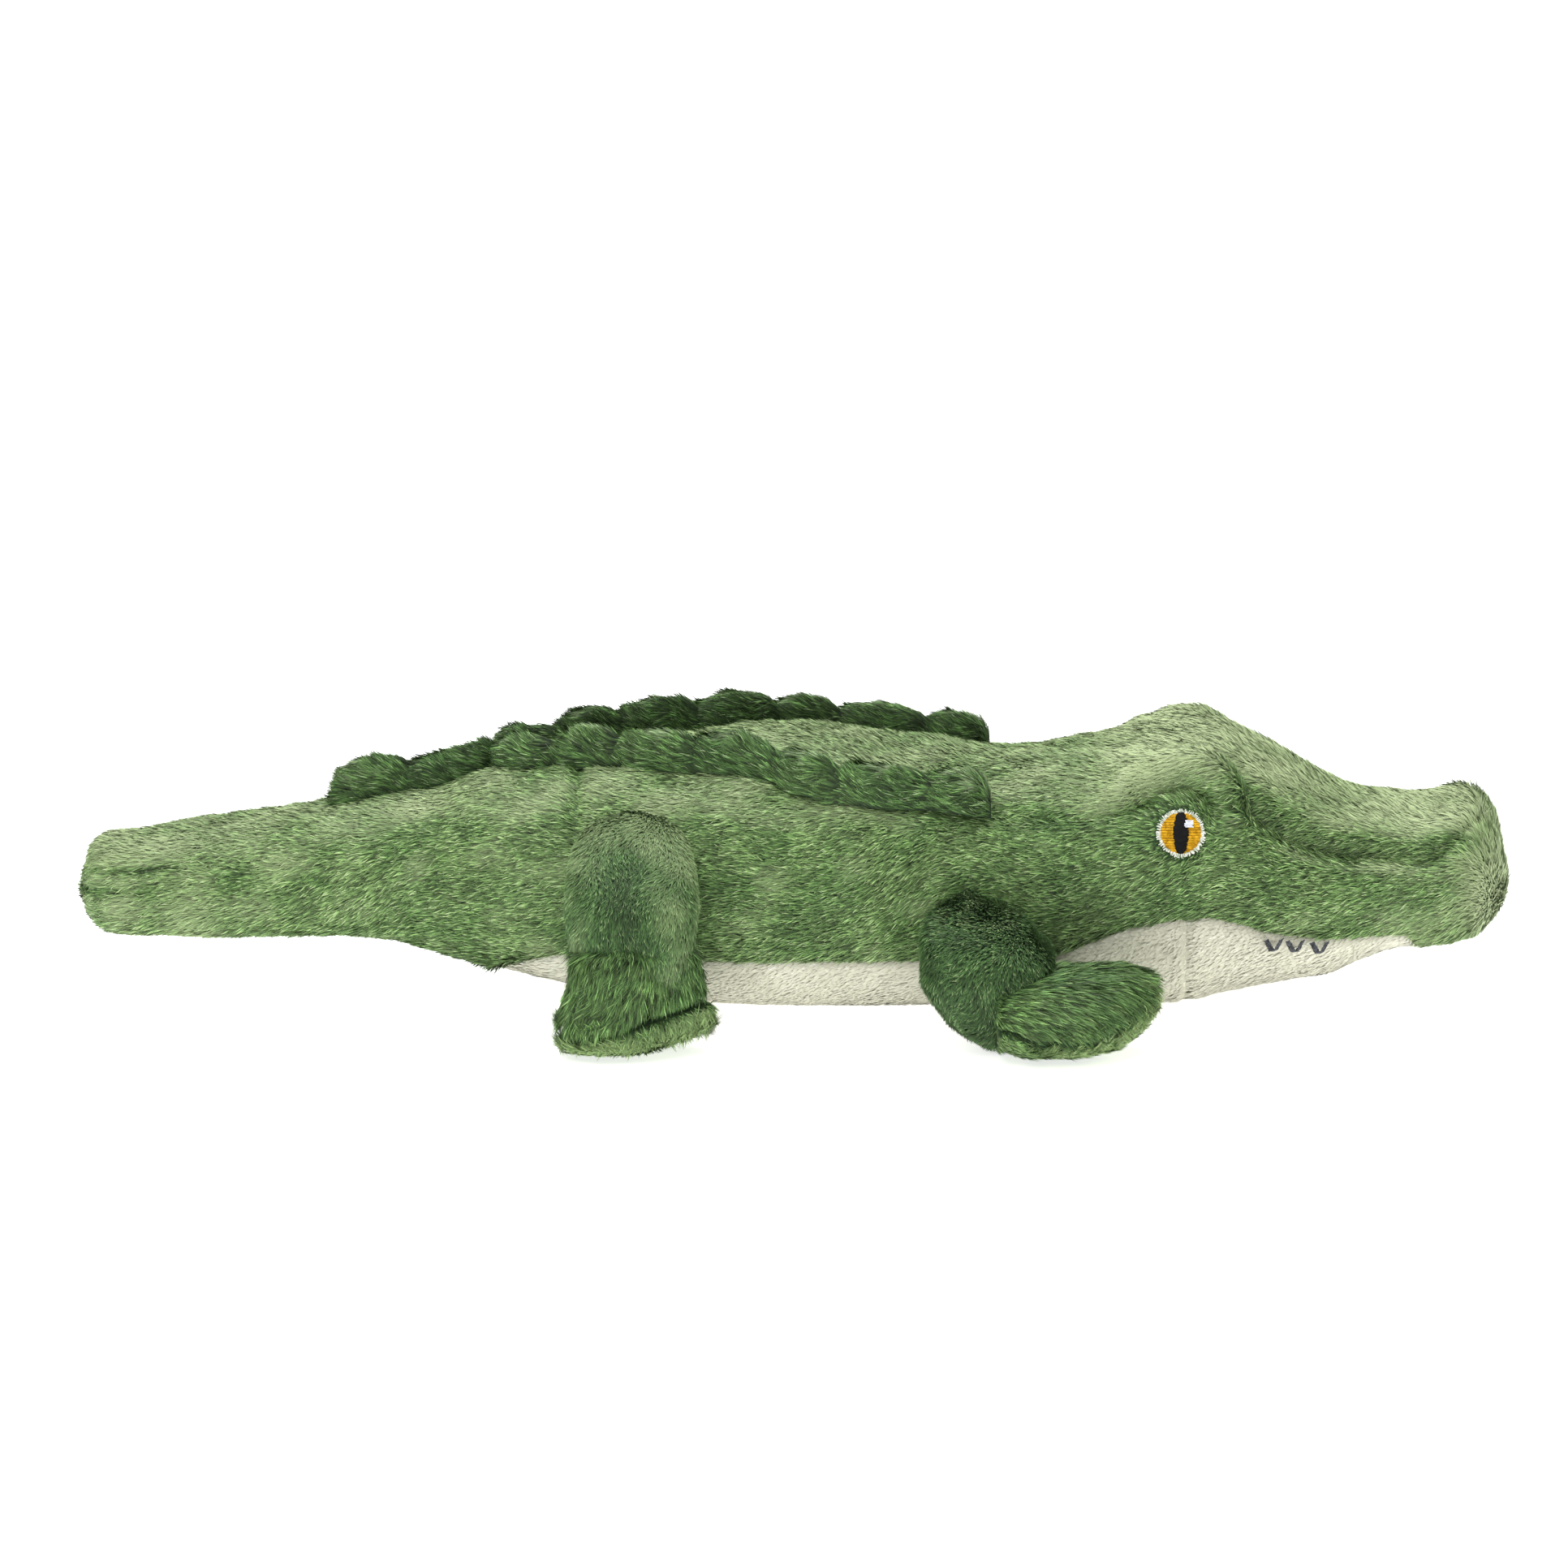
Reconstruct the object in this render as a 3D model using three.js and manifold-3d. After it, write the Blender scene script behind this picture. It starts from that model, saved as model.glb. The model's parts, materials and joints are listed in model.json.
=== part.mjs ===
// A stuffed toy crocodile that lies on its belly. Sewn fabric panels wrap a fibre filling, and the head,
// the tail, the legs and the feet bend where they are sewn on. X runs from the tail tip to the nose,
// Y points to the toy's left, Z is up, and the ground is at z = 0. All lengths are in millimetres.

import * as THREE from 'three';
import { mergeVertices } from 'three/addons/utils/BufferGeometryUtils.js';
import Module from 'manifold-3d';

const wasm = await Module();
wasm.setup();

// Driving sizes of the whole toy
const bodyLength = 380;
const backHeight = 75;
const bodyWidth = 92;
const skin = 3;
const seamGap = 0.35;
const bendGap = 0.8;
const overrun = 60;

// The body's section along its length: place, top, bottom and half width, as shares of the body's
// length, back height, back height and half width. The belly's lowest 0.5 mm is cut flat.
const bodyShares = [
  [0.000, 0.440, 0.400, 0.05],
  [0.008, 0.545, 0.300, 0.22],
  [0.020, 0.590, 0.250, 0.31],
  [0.045, 0.625, 0.233, 0.375],
  [0.080, 0.660, 0.233, 0.41],
  [0.130, 0.690, 0.228, 0.445],
  [0.185, 0.720, 0.235, 0.49],
  [0.220, 0.745, 0.222, 0.545],
  [0.258, 0.780, 0.170, 0.61],
  [0.290, 0.820, 0.125, 0.685],
  [0.325, 0.867, 0.085, 0.79],
  [0.370, 0.915, 0.045, 0.90],
  [0.420, 0.953, 0.015, 0.975],
  [0.480, 0.985, -0.004, 1.00],
  [0.540, 0.993, -0.0067, 1.00],
  [0.592, 0.973, -0.0067, 0.955],
  [0.630, 0.940, -0.0067, 0.90],
  [0.665, 0.925, -0.0067, 0.858],
  [0.705, 0.950, -0.0067, 0.838],
  [0.742, 0.985, -0.0067, 0.838],
  [0.774, 0.990, 0.000, 0.825],
  [0.798, 0.985, 0.030, 0.80],
  [0.822, 0.925, 0.053, 0.76],
  [0.848, 0.865, 0.077, 0.715],
  [0.874, 0.785, 0.100, 0.685],
  [0.896, 0.740, 0.150, 0.66],
  [0.922, 0.725, 0.195, 0.65],
  [0.952, 0.725, 0.215, 0.66],
  [0.976, 0.710, 0.250, 0.63],
  [0.991, 0.630, 0.325, 0.50],
  [0.998, 0.540, 0.400, 0.31],
  [1.000, 0.472, 0.446, 0.06],
];
const sectionFullness = 2.25;

// The seams: how far round from the belly line each lies, as a share of half a turn
const bellySeamShares = [
  [0.279, 0.00], [0.300, 0.20], [0.337, 0.32], [0.370, 0.355], [0.480, 0.361], [0.637, 0.361],
  [0.680, 0.372], [0.710, 0.400], [0.742, 0.430], [0.795, 0.450], [0.822, 0.430], [0.853, 0.370],
  [0.882, 0.365], [0.908, 0.330], [0.930, 0.270], [0.940, 0.00],
];
const backSeamShares = [
  [0.286, 1.000], [0.303, 0.965], [0.355, 0.935], [0.400, 0.892], [0.463, 0.848], [0.510, 0.778],
  [0.563, 0.744], [0.618, 0.746], [0.658, 0.752], [0.710, 0.761], [0.742, 0.767], [0.789, 0.755],
  [0.824, 0.739], [0.874, 0.728], [0.908, 0.711], [0.937, 0.700], [0.958, 0.794], [0.977, 1.000],
];

// Raised brows and nostrils, and the crease along the snout's upper seam
const browHeight = 6;
const browSpan = 14;
const browOut = 23;
const browAtShare = 0.784;
const nostrilHeight = 3.5;
const nostrilSpan = 9;
const nostrilOut = 20;
const nostrilAtShare = 0.964;
const creaseDepth = 2.5;
const creaseFromShare = 0.80;
const creaseToShare = 0.955;
const creaseWidthShare = 0.05;

// Bending places of the neck and the tail, each a ball that the narrower end turns on
const neckAtShare = 0.70;
const tailAtShare = 0.2263;
const neckBallShare = 1.10;
const tailBallShare = 1.16;
const ballSideCount = 24;
const barSideCount = 16;

// The quads round each part of a section
const tailCounts = { bellyCount: 2, sideCount: 6, backCount: 2 };
const torsoCounts = { bellyCount: 4, sideCount: 5, backCount: 4 };
const headCounts = { bellyCount: 4, sideCount: 5, backCount: 6 };

// Sewn-on strips of scallops
const finHeight = 10.5;
const finThickness = 7;
const finSink = 4;
const scallopDipShare = 0.3;
const endHeightShare = 0.35;
const endThicknessShare = 0.4;
const scallopStepCount = 4;
const backFin = { fromShare: 0.295, toShare: 0.637, scallopCount: 7 };
const tailFin = { fromShare: 0.178, toShare: 0.288, scallopCount: 2 };
const finOutlineShares = [[-0.5, 0], [-0.5, 0.5], [-0.22, 1], [0.22, 1], [0.5, 0.5], [0.5, 0]];

// Embroidered eyes and teeth
const eyeDiameter = 13.3;
const eyeRingWidth = 1.3;
const stitchHeight = 0.8;
const pupilWidth = 3.2;
const pupilEndShare = 0.82;
const glintDiameter = 2;
const glintForward = 1.6;
const glintUp = 2.3;
const eyeAtShare = 0.7705;
const eyeTurnShare = 0.656;
const toothWidth = 4.8;
const toothDrop = 2.8;
const toothThread = 0.9;
const toothPlaceShares = [[0.836, 0.301], [0.853, 0.293], [0.870, 0.283]];

// The legs: place of the bend at the body, and the sewn plug that enters the body there
const legClear = 0.5;
const plugDepth = 6;
const plugRadius = 11.5;
const legSideCount = 8;
const formFullness = 2.5;
const soleThickness = 3.5;
const hindLeg = {
  hipAtShare: 0.387, hipHeightShare: 0.56, height: 64, length: 36.5, width: 25,
  // height, forward shift, half length, outward place and half width, as shares of the sizes above
  rowShares: [
    [0.12, 0.03, 0.40, 0.50, 0.46], [0.42, 0.01, 0.47, 0.49, 0.53], [0.62, 0.00, 0.50, 0.43, 0.53],
    [0.80, -0.01, 0.46, 0.34, 0.47], [0.93, -0.01, 0.30, 0.24, 0.30], [1.00, -0.01, 0.07, 0.16, 0.07],
  ],
};
const hindFoot = {
  ankleHeight: 12, ankleRadius: 16.5, ankleShiftShare: 0.02, height: 30, length: 44, reach: 29.5,
  frontTaper: 0.3,
  // height, half length, inner side and outer side, as shares of the sizes above
  rowShares: [
    [-0.017, 0.41, 0.05, 0.78], [0.10, 0.48, 0.01, 0.94], [0.28, 0.50, 0.00, 1.00],
    [0.45, 0.45, 0.00, 0.91], [0.65, 0.38, 0.00, 0.79], [1.00, 0.34, 0.02, 0.72],
  ],
};
const frontLeg = {
  hipAtShare: 0.616, hipHeightShare: 0.40, height: 42, length: 35, width: 26,
  rowShares: [
    [-0.012, 0.40, 0.20, 0.32, 0.23], [0.20, 0.28, 0.42, 0.43, 0.45], [0.50, 0.20, 0.53, 0.44, 0.50],
    [0.75, 0.15, 0.48, 0.36, 0.46], [0.92, 0.08, 0.32, 0.26, 0.30], [1.00, 0.04, 0.08, 0.18, 0.08],
  ],
};
const frontFoot = {
  ankleHeight: 13, ankleRadius: 13.5, ankleShiftShare: 0.66, height: 26, length: 43.5, reach: 31.5,
  overhang: 3,
  // place along the foot, bottom, top, inner side and outer side, as shares of the sizes above
  rowShares: [
    [-0.02, 0.06, 0.94, 0.08, 0.88], [0.20, -0.02, 1.02, 0.02, 0.96], [0.45, -0.02, 1.00, 0.00, 1.00],
    [0.70, -0.02, 0.92, 0.00, 0.92], [0.88, 0.07, 0.80, 0.03, 0.71], [1.00, 0.32, 0.60, 0.18, 0.46],
  ],
};

// The pouch of plastic pellets low in the belly
const pouchLength = 84;
const pouchWidth = 52;
const pouchHeight = 26;
const pouchAtShare = 0.49;

// Finishes
const bodyGreen = { color: 0x68844f, roughness: 0.9, metalness: 0 };
const legGreen = { color: 0x4f6b41, roughness: 0.92, metalness: 0 };
const footGreen = { color: 0x5c7949, roughness: 0.92, metalness: 0 };
const finGreen = { color: 0x405f33, roughness: 0.92, metalness: 0 };
const bellyWhite = { color: 0xe2e4d0, roughness: 0.9, metalness: 0 };
const fibreWhite = { color: 0xf2f2ee, roughness: 1, metalness: 0 };
const pouchCotton = { color: 0xd9d2c0, roughness: 0.95, metalness: 0 };
const ringThread = { color: 0xe9e9e4, roughness: 0.6, metalness: 0 };
const amberThread = { color: 0xd99a1c, roughness: 0.5, metalness: 0 };
const blackThread = { color: 0x17171a, roughness: 0.6, metalness: 0 };
const glintThread = { color: 0xc9cdd2, roughness: 0.5, metalness: 0 };
const toothThreadGrey = { color: 0x4a4d52, roughness: 0.7, metalness: 0 };

const toy = new THREE.Group();

function addPiece(name, solid, finish) {
  const mesh = new THREE.Mesh(geometryOf(solid), new THREE.MeshStandardMaterial(finish));
  mesh.name = name;
  toy.add(mesh);
}

// Solids from points and triangles, and back
function solidFrom(points, triangles) {
  const places = new Map();
  const coordinates = [];
  const index = points.map((point) => {
    const key = point.toArray().map((value) => Math.round(value * 1e4)).join();
    if (!places.has(key)) {
      places.set(key, places.size);
      coordinates.push(point.x, point.y, point.z);
    }
    return places.get(key);
  });
  const kept = triangles
    .map((corners) => corners.map((corner) => index[corner]))
    .filter(([a, b, c]) => a !== b && b !== c && c !== a);
  return new wasm.Manifold(new wasm.Mesh({
    numProp: 3,
    vertProperties: Float32Array.from(coordinates),
    triVerts: Uint32Array.from(kept.flat()),
  }));
}

function solidOf(geometry) {
  geometry.deleteAttribute('normal');
  geometry.deleteAttribute('uv');
  const merged = mergeVertices(geometry);
  return new wasm.Manifold(new wasm.Mesh({
    numProp: 3,
    vertProperties: merged.attributes.position.array,
    triVerts: Uint32Array.from(merged.index.array),
  }));
}

function geometryOf(solid) {
  const mesh = solid.getMesh();
  const geometry = new THREE.BufferGeometry();
  geometry.setAttribute('position', new THREE.BufferAttribute(mesh.vertProperties, 3));
  geometry.setIndex(new THREE.BufferAttribute(mesh.triVerts, 1));
  geometry.computeVertexNormals();
  return geometry;
}

function mirrored(solid) {
  const mesh = solid.getMesh();
  const points = [];
  for (let i = 0; i < mesh.vertProperties.length; i += 3) {
    const [x, y, z] = mesh.vertProperties.subarray(i, i + 3);
    points.push(new THREE.Vector3(x, -y, z));
  }
  const triangles = [];
  for (let i = 0; i < mesh.triVerts.length; i += 3) {
    const [a, b, c] = mesh.triVerts.subarray(i, i + 3);
    triangles.push([a, c, b]);
  }
  return solidFrom(points, triangles);
}

function quad(triangles, a, b, c, d) {
  triangles.push([a, b, c], [a, c, d]);
}

function box(low, high) {
  const size = new THREE.Vector3().subVectors(high, low);
  const middle = new THREE.Vector3().addVectors(low, high).multiplyScalar(0.5);
  return solidOf(new THREE.BoxGeometry(size.x, size.y, size.z).translate(middle.x, middle.y, middle.z));
}

function ball(radius, centre) {
  const sphere = new THREE.SphereGeometry(radius, ballSideCount, ballSideCount / 2).rotateX(Math.PI / 2);
  return solidOf(sphere.translate(centre.x, centre.y, centre.z));
}

// A round bar across the toy, from one outward place to another
function crossBar(radius, x, z, from, to) {
  const bar = new THREE.CylinderGeometry(radius, radius, to - from, barSideCount);
  return solidOf(bar.translate(x, (from + to) / 2, z));
}

// Everything between two heights
function slab(low, high) {
  const reach = bodyLength + overrun;
  return box(new THREE.Vector3(-reach, -reach, low), new THREE.Vector3(reach, reach, high));
}

// Reads one column of a table of shares at a place, on a smooth curve through its rows
function readShare(table, at, column) {
  const last = table.length - 1;
  if (at <= table[0][0]) return table[0][column];
  if (at >= table[last][0]) return table[last][column];
  const row = table.findIndex((entry) => entry[0] > at) - 1;
  const rise = (i) => (table[i + 1][column] - table[i][column]) / (table[i + 1][0] - table[i][0]);
  const slope = (i) => {
    if (i === 0) return rise(0);
    if (i === last) return rise(last - 1);
    const [before, after] = [rise(i - 1), rise(i)];
    return before * after <= 0 ? 0 : (2 * before * after) / (before + after);
  };
  const width = table[row + 1][0] - table[row][0];
  const t = (at - table[row][0]) / width;
  const [from, to] = [table[row][column], table[row + 1][column]];
  return from * (1 + 2 * t) * (1 - t) ** 2 + to * t * t * (3 - 2 * t)
    + width * (slope(row) * t * (1 - t) ** 2 + slope(row + 1) * t * t * (t - 1));
}

const placeX = (at) => (at - 0.5) * bodyLength;
const bellySeam = (at) => readShare(bellySeamShares, at, 1);
const backSeam = (at) => readShare(backSeamShares, at, 1);
const rounded = (value, fullness) => Math.sign(value) * Math.abs(value) ** (2 / fullness);

function section(at) {
  const top = readShare(bodyShares, at, 1) * backHeight;
  const bottom = readShare(bodyShares, at, 2) * backHeight;
  const half = readShare(bodyShares, at, 3) * bodyWidth / 2;
  return { middle: (top + bottom) / 2, rise: (top - bottom) / 2, half };
}

// A point of the skin: turn is 0 on the belly line, 0.5 on the left side, 1 on the back line
function skinPoint(at, turn) {
  const { middle, rise, half } = section(at);
  const x = placeX(at);
  let y = half * rounded(Math.sin(turn * Math.PI), sectionFullness);
  let z = -rise * rounded(Math.cos(turn * Math.PI), sectionFullness);
  const folded = turn > 1 ? 2 - turn : Math.abs(turn);
  if (at > creaseFromShare && at < creaseToShare) {
    const fade = Math.sin(Math.PI * (at - creaseFromShare) / (creaseToShare - creaseFromShare));
    const near = Math.exp(-(((folded - backSeam(at)) / creaseWidthShare) ** 2));
    const pull = 1 - creaseDepth * fade * near / Math.hypot(y, z);
    y *= pull;
    z *= pull;
  }
  if (z > 0) {
    const bump = (height, span, out, share) => {
      const along = (x - placeX(share)) / span;
      const across = (Math.abs(y) - out) / span * Math.SQRT2;
      return height * Math.exp(-along * along - across * across);
    };
    z += bump(browHeight, browSpan, browOut, browAtShare);
    z += bump(nostrilHeight, nostrilSpan, nostrilOut, nostrilAtShare);
  }
  return new THREE.Vector3(x, y, z + middle);
}

// The same point, moved inwards by a distance
const smallShare = 1e-3;
function insetPoint(at, turn, inset) {
  const from = Math.max(at - smallShare, 0);
  const to = Math.min(at + smallShare, 1);
  const along = skinPoint(to, turn).sub(skinPoint(from, turn));
  const round = skinPoint(at, turn + smallShare).sub(skinPoint(at, turn - smallShare));
  return skinPoint(at, turn).addScaledVector(round.cross(along).normalize(), -inset);
}

// The turns of one ring: belly, left side, back and right side, pinned to the seams
function ringTurns(at, counts) {
  const [belly, back] = [bellySeam(at), backSeam(at)];
  const turns = [];
  const stretch = (from, to, count) => {
    for (let i = 0; i < count; i += 1) turns.push(from + (to - from) * i / count);
  };
  stretch(-belly, belly, counts.bellyCount);
  stretch(belly, back, counts.sideCount);
  stretch(back, 2 - back, counts.backCount);
  stretch(2 - back, 2 - belly, counts.sideCount);
  turns.push(2 - belly);
  return turns;
}

const ringPlaces = [...bodyShares, bellySeamShares[0], bellySeamShares.at(-1), backSeamShares[0],
  backSeamShares.at(-1)].map((row) => row[0]).sort((a, b) => a - b);

function placesBetween(from, to) {
  const inside = ringPlaces.filter((at) => at > from + smallShare && at < to - smallShare);
  return [from, ...inside, to];
}

// A closed body between two places, its whole skin moved inwards by a distance
function bodySolid(from, to, counts, inset) {
  const places = placesBetween(from, to);
  const rings = places.map((at) => ringTurns(at, counts).map((turn) => insetPoint(at, turn, inset)));
  const width = rings[0].length;
  const points = rings.flat();
  const triangles = [];
  for (let i = 0; i < rings.length - 1; i += 1) {
    for (let j = 0; j < width - 1; j += 1) {
      const corner = i * width + j;
      quad(triangles, corner, corner + 1, corner + width + 1, corner + width);
    }
  }
  const cap = (ring, first, flip) => {
    const centre = ring.slice(0, -1).reduce((sum, point) => sum.add(point), new THREE.Vector3());
    points.push(centre.divideScalar(width - 1));
    for (let j = 0; j < width - 1; j += 1) {
      const pair = flip ? [first + j + 1, first + j] : [first + j, first + j + 1];
      triangles.push([...pair, points.length - 1]);
    }
  };
  cap(rings[0], 0, true);
  cap(rings.at(-1), (rings.length - 1) * width, false);
  return solidFrom(points, triangles);
}

// One fabric panel between two columns of the rings, drawn in by half a seam gap at its edges
function panel(from, to, counts, first, last) {
  const layers = [0, skin].map((inset) => placesBetween(from, to).map((at) => {
    const turns = ringTurns(at, counts).slice(first, last + 1);
    const row = turns.map((turn) => insetPoint(at, turn, inset));
    const drawIn = (edge, next) => {
      const span = row[edge].distanceTo(row[next]);
      if (span > seamGap) row[edge].lerp(row[next], seamGap / 2 / span);
    };
    drawIn(0, 1);
    drawIn(row.length - 1, row.length - 2);
    return row;
  }));
  const rows = layers[0].length;
  const width = last - first + 1;
  const outer = (i, j) => i * width + j;
  const inner = (i, j) => (rows + i) * width + j;
  const triangles = [];
  for (let i = 0; i < rows - 1; i += 1) {
    for (let j = 0; j < width - 1; j += 1) {
      quad(triangles, outer(i, j), outer(i, j + 1), outer(i + 1, j + 1), outer(i + 1, j));
      triangles.push([inner(i, j), inner(i + 1, j + 1), inner(i, j + 1)]);
      triangles.push([inner(i, j), inner(i + 1, j), inner(i + 1, j + 1)]);
    }
    quad(triangles, outer(i, 0), outer(i + 1, 0), inner(i + 1, 0), inner(i, 0));
    quad(triangles, outer(i, width - 1), inner(i, width - 1), inner(i + 1, width - 1),
      outer(i + 1, width - 1));
  }
  for (let j = 0; j < width - 1; j += 1) {
    quad(triangles, outer(0, j), inner(0, j), inner(0, j + 1), outer(0, j + 1));
    quad(triangles, outer(rows - 1, j), outer(rows - 1, j + 1), inner(rows - 1, j + 1),
      inner(rows - 1, j));
  }
  return solidFrom(layers.flat(2), triangles);
}

// The four fabric panels, by where they start and end in the ring
const bellyPanel = (from, to, counts) => panel(from, to, counts, 0, counts.bellyCount);
const leftPanel = (from, to, counts) => panel(from, to, counts, counts.bellyCount,
  counts.bellyCount + counts.sideCount);
const backPanel = (from, to, counts) => panel(from, to, counts, counts.bellyCount + counts.sideCount,
  counts.bellyCount + counts.sideCount + counts.backCount);
const rightPanel = (from, to, counts) => panel(from, to, counts,
  counts.bellyCount + counts.sideCount + counts.backCount,
  counts.bellyCount + 2 * counts.sideCount + counts.backCount);

// The neck and tail bends: the end that turns keeps its ball, and the body is hollowed to fit it
function bend(atShare, ballShare, direction) {
  const { middle, rise, half } = section(atShare);
  const centre = new THREE.Vector3(placeX(atShare), 0, middle);
  const radius = Math.max(rise, half) * ballShare;
  const reach = bodyLength + overrun;
  const beyond = direction > 0
    ? box(new THREE.Vector3(centre.x, -reach, -reach), new THREE.Vector3(reach, reach, reach))
    : box(new THREE.Vector3(-reach, -reach, -reach), new THREE.Vector3(centre.x, reach, reach));
  return {
    centre,
    radius,
    moving: ball(radius, centre).add(beyond),
    cleared: ball(radius + bendGap, centre).add(beyond),
  };
}

const neck = bend(neckAtShare, neckBallShare, 1);
const tailBend = bend(tailAtShare, tailBallShare, -1);
const reachShare = (bendPlace, distance) => (bendPlace.centre.x + distance) / bodyLength + 0.5;
const torsoFrom = reachShare(tailBend, 0);
const torsoTo = reachShare(neck, 0);
const tailCoreTo = reachShare(tailBend, tailBend.radius);
const tailSkinTo = backSeamShares[0][0];
const headCoreFrom = reachShare(neck, -neck.radius);

const aboveGround = slab(0, bodyLength);
const keepTorso = (solid) => solid.subtract(neck.cleared).subtract(tailBend.cleared).intersect(aboveGround);
const keepHead = (solid) => solid.intersect(neck.moving).intersect(aboveGround);
const keepTail = (solid) => solid.intersect(tailBend.moving);

function addPair(name, solid, finish) {
  addPiece(`${name}_left`, solid, finish);
  addPiece(`${name}_right`, mirrored(solid), finish);
}

// Legs and feet are closed forms of rings; places are given outwards from the toy's middle
function ringForm(rings) {
  const count = legSideCount;
  const points = rings.flatMap((ring) => {
    const row = [];
    for (let j = 0; j < count; j += 1) {
      const angle = 2 * Math.PI * j / count;
      row.push(ring(rounded(Math.cos(angle), formFullness), rounded(Math.sin(angle), formFullness)));
    }
    return row;
  });
  const triangles = [];
  for (let i = 0; i < rings.length - 1; i += 1) {
    for (let j = 0; j < count; j += 1) {
      const next = (j + 1) % count;
      quad(triangles, i * count + j, i * count + next, (i + 1) * count + next, (i + 1) * count + j);
    }
  }
  [0, rings.length - 1].forEach((i) => {
    points.push(rings[i](0, 0));
    for (let j = 0; j < count; j += 1) {
      const pair = [i * count + j, i * count + (j + 1) % count];
      triangles.push(i === 0 ? [pair[1], pair[0], points.length - 1] : [...pair, points.length - 1]);
    }
  });
  return { points, triangles };
}

// The form as a solid, with its skin moved inwards by a distance
function formSolid({ points, triangles }, inset) {
  const normals = points.map(() => new THREE.Vector3());
  triangles.forEach(([a, b, c]) => {
    const edge = new THREE.Vector3().subVectors(points[b], points[a]);
    const normal = edge.cross(new THREE.Vector3().subVectors(points[c], points[a]));
    [a, b, c].forEach((corner) => normals[corner].add(normal));
  });
  return solidFrom(points.map((p, i) => p.clone().addScaledVector(normals[i].normalize(), -inset)),
    triangles);
}

const legInner = bodyWidth / 2 + legClear;

function legForm(leg) {
  const x = placeX(leg.hipAtShare);
  return ringForm(leg.rowShares.map(([height, shift, halfLength, out, halfWidth]) => (u, v) => (
    new THREE.Vector3(x + (shift + halfLength * u) * leg.length,
      legInner + (out + halfWidth * v) * leg.width, height * leg.height))));
}

function hindFootForm(leg, foot) {
  const x = placeX(leg.hipAtShare) + foot.ankleShiftShare * foot.length;
  const taper = (u) => 1 - foot.frontTaper * ((1 + u) / 2) ** 2;
  return ringForm(foot.rowShares.map(([height, halfLength, inner, outer]) => (u, v) => (
    new THREE.Vector3(x + halfLength * u * foot.length,
      legInner + ((inner + outer) / 2 + (outer - inner) / 2 * v) * taper(u) * foot.reach,
      height * foot.height))));
}

function frontFootForm(leg, foot) {
  const x = placeX(leg.hipAtShare) + foot.ankleShiftShare * leg.length - foot.ankleRadius;
  return ringForm(foot.rowShares.map(([along, bottom, top, inner, outer]) => (u, v) => (
    new THREE.Vector3(x + along * foot.length,
      legInner + ((inner + outer) / 2 + (outer - inner) / 2 * u) * foot.reach,
      ((bottom + top) / 2 + (top - bottom) / 2 * v) * foot.height))));
}

const farOut = legInner + overrun;
const outside = (out) => box(new THREE.Vector3(-bodyLength, out, -bodyLength),
  new THREE.Vector3(bodyLength, farOut, bodyLength));

// The leg at one depth under its skin, with its plug into the body
function legSolid(leg, inset, plugStart) {
  const [x, z] = [placeX(leg.hipAtShare), leg.hipHeightShare * backHeight];
  const form = formSolid(legForm(leg), inset).intersect(outside(legInner + inset));
  const plugEnd = legInner + leg.width / 2;
  return form.add(crossBar(plugRadius - inset, x, z, plugStart, plugEnd))
    .intersect(slab(inset, leg.height));
}

function addLegAndFoot(name, leg, foot, footForm, footBeyond, legBeyond) {
  const x = placeX(leg.hipAtShare) + foot.ankleShiftShare * (leg === frontLeg ? leg.length : foot.length);
  const ankle = crossBar(foot.ankleRadius, x, foot.ankleHeight, 0, farOut);
  const hollow = crossBar(foot.ankleRadius + bendGap, x, foot.ankleHeight, 0, farOut);
  const plugStart = legInner - plugDepth;
  const legZone = (solid) => solid.subtract(hollow).subtract(legBeyond(x));
  const sleeve = legSolid(leg, 0, plugStart).subtract(legSolid(leg, skin, plugStart - overrun));
  const filling = legSolid(leg, skin + seamGap, plugStart).subtract(sleeve);
  addPair(`${name}_leg_sleeve`, legZone(sleeve), legGreen);
  addPair(`${name}_leg_filling`, legZone(filling), fibreWhite);

  const form = footForm(leg, foot);
  const footZone = ankle.add(footBeyond(x));
  const outer = formSolid(form, 0).intersect(footZone).intersect(outside(legInner));
  const above = slab(soleThickness + seamGap, backHeight);
  const upper = outer.subtract(formSolid(form, skin)).intersect(above);
  const footFilling = formSolid(form, skin + seamGap).intersect(footZone).subtract(upper);
  addPair(`${name}_foot_upper`, upper, footGreen);
  addPair(`${name}_foot_sole`, outer.intersect(slab(0, soleThickness)), footGreen);
  addPair(`${name}_foot_filling`, footFilling.intersect(above), fibreWhite);
}

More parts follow.
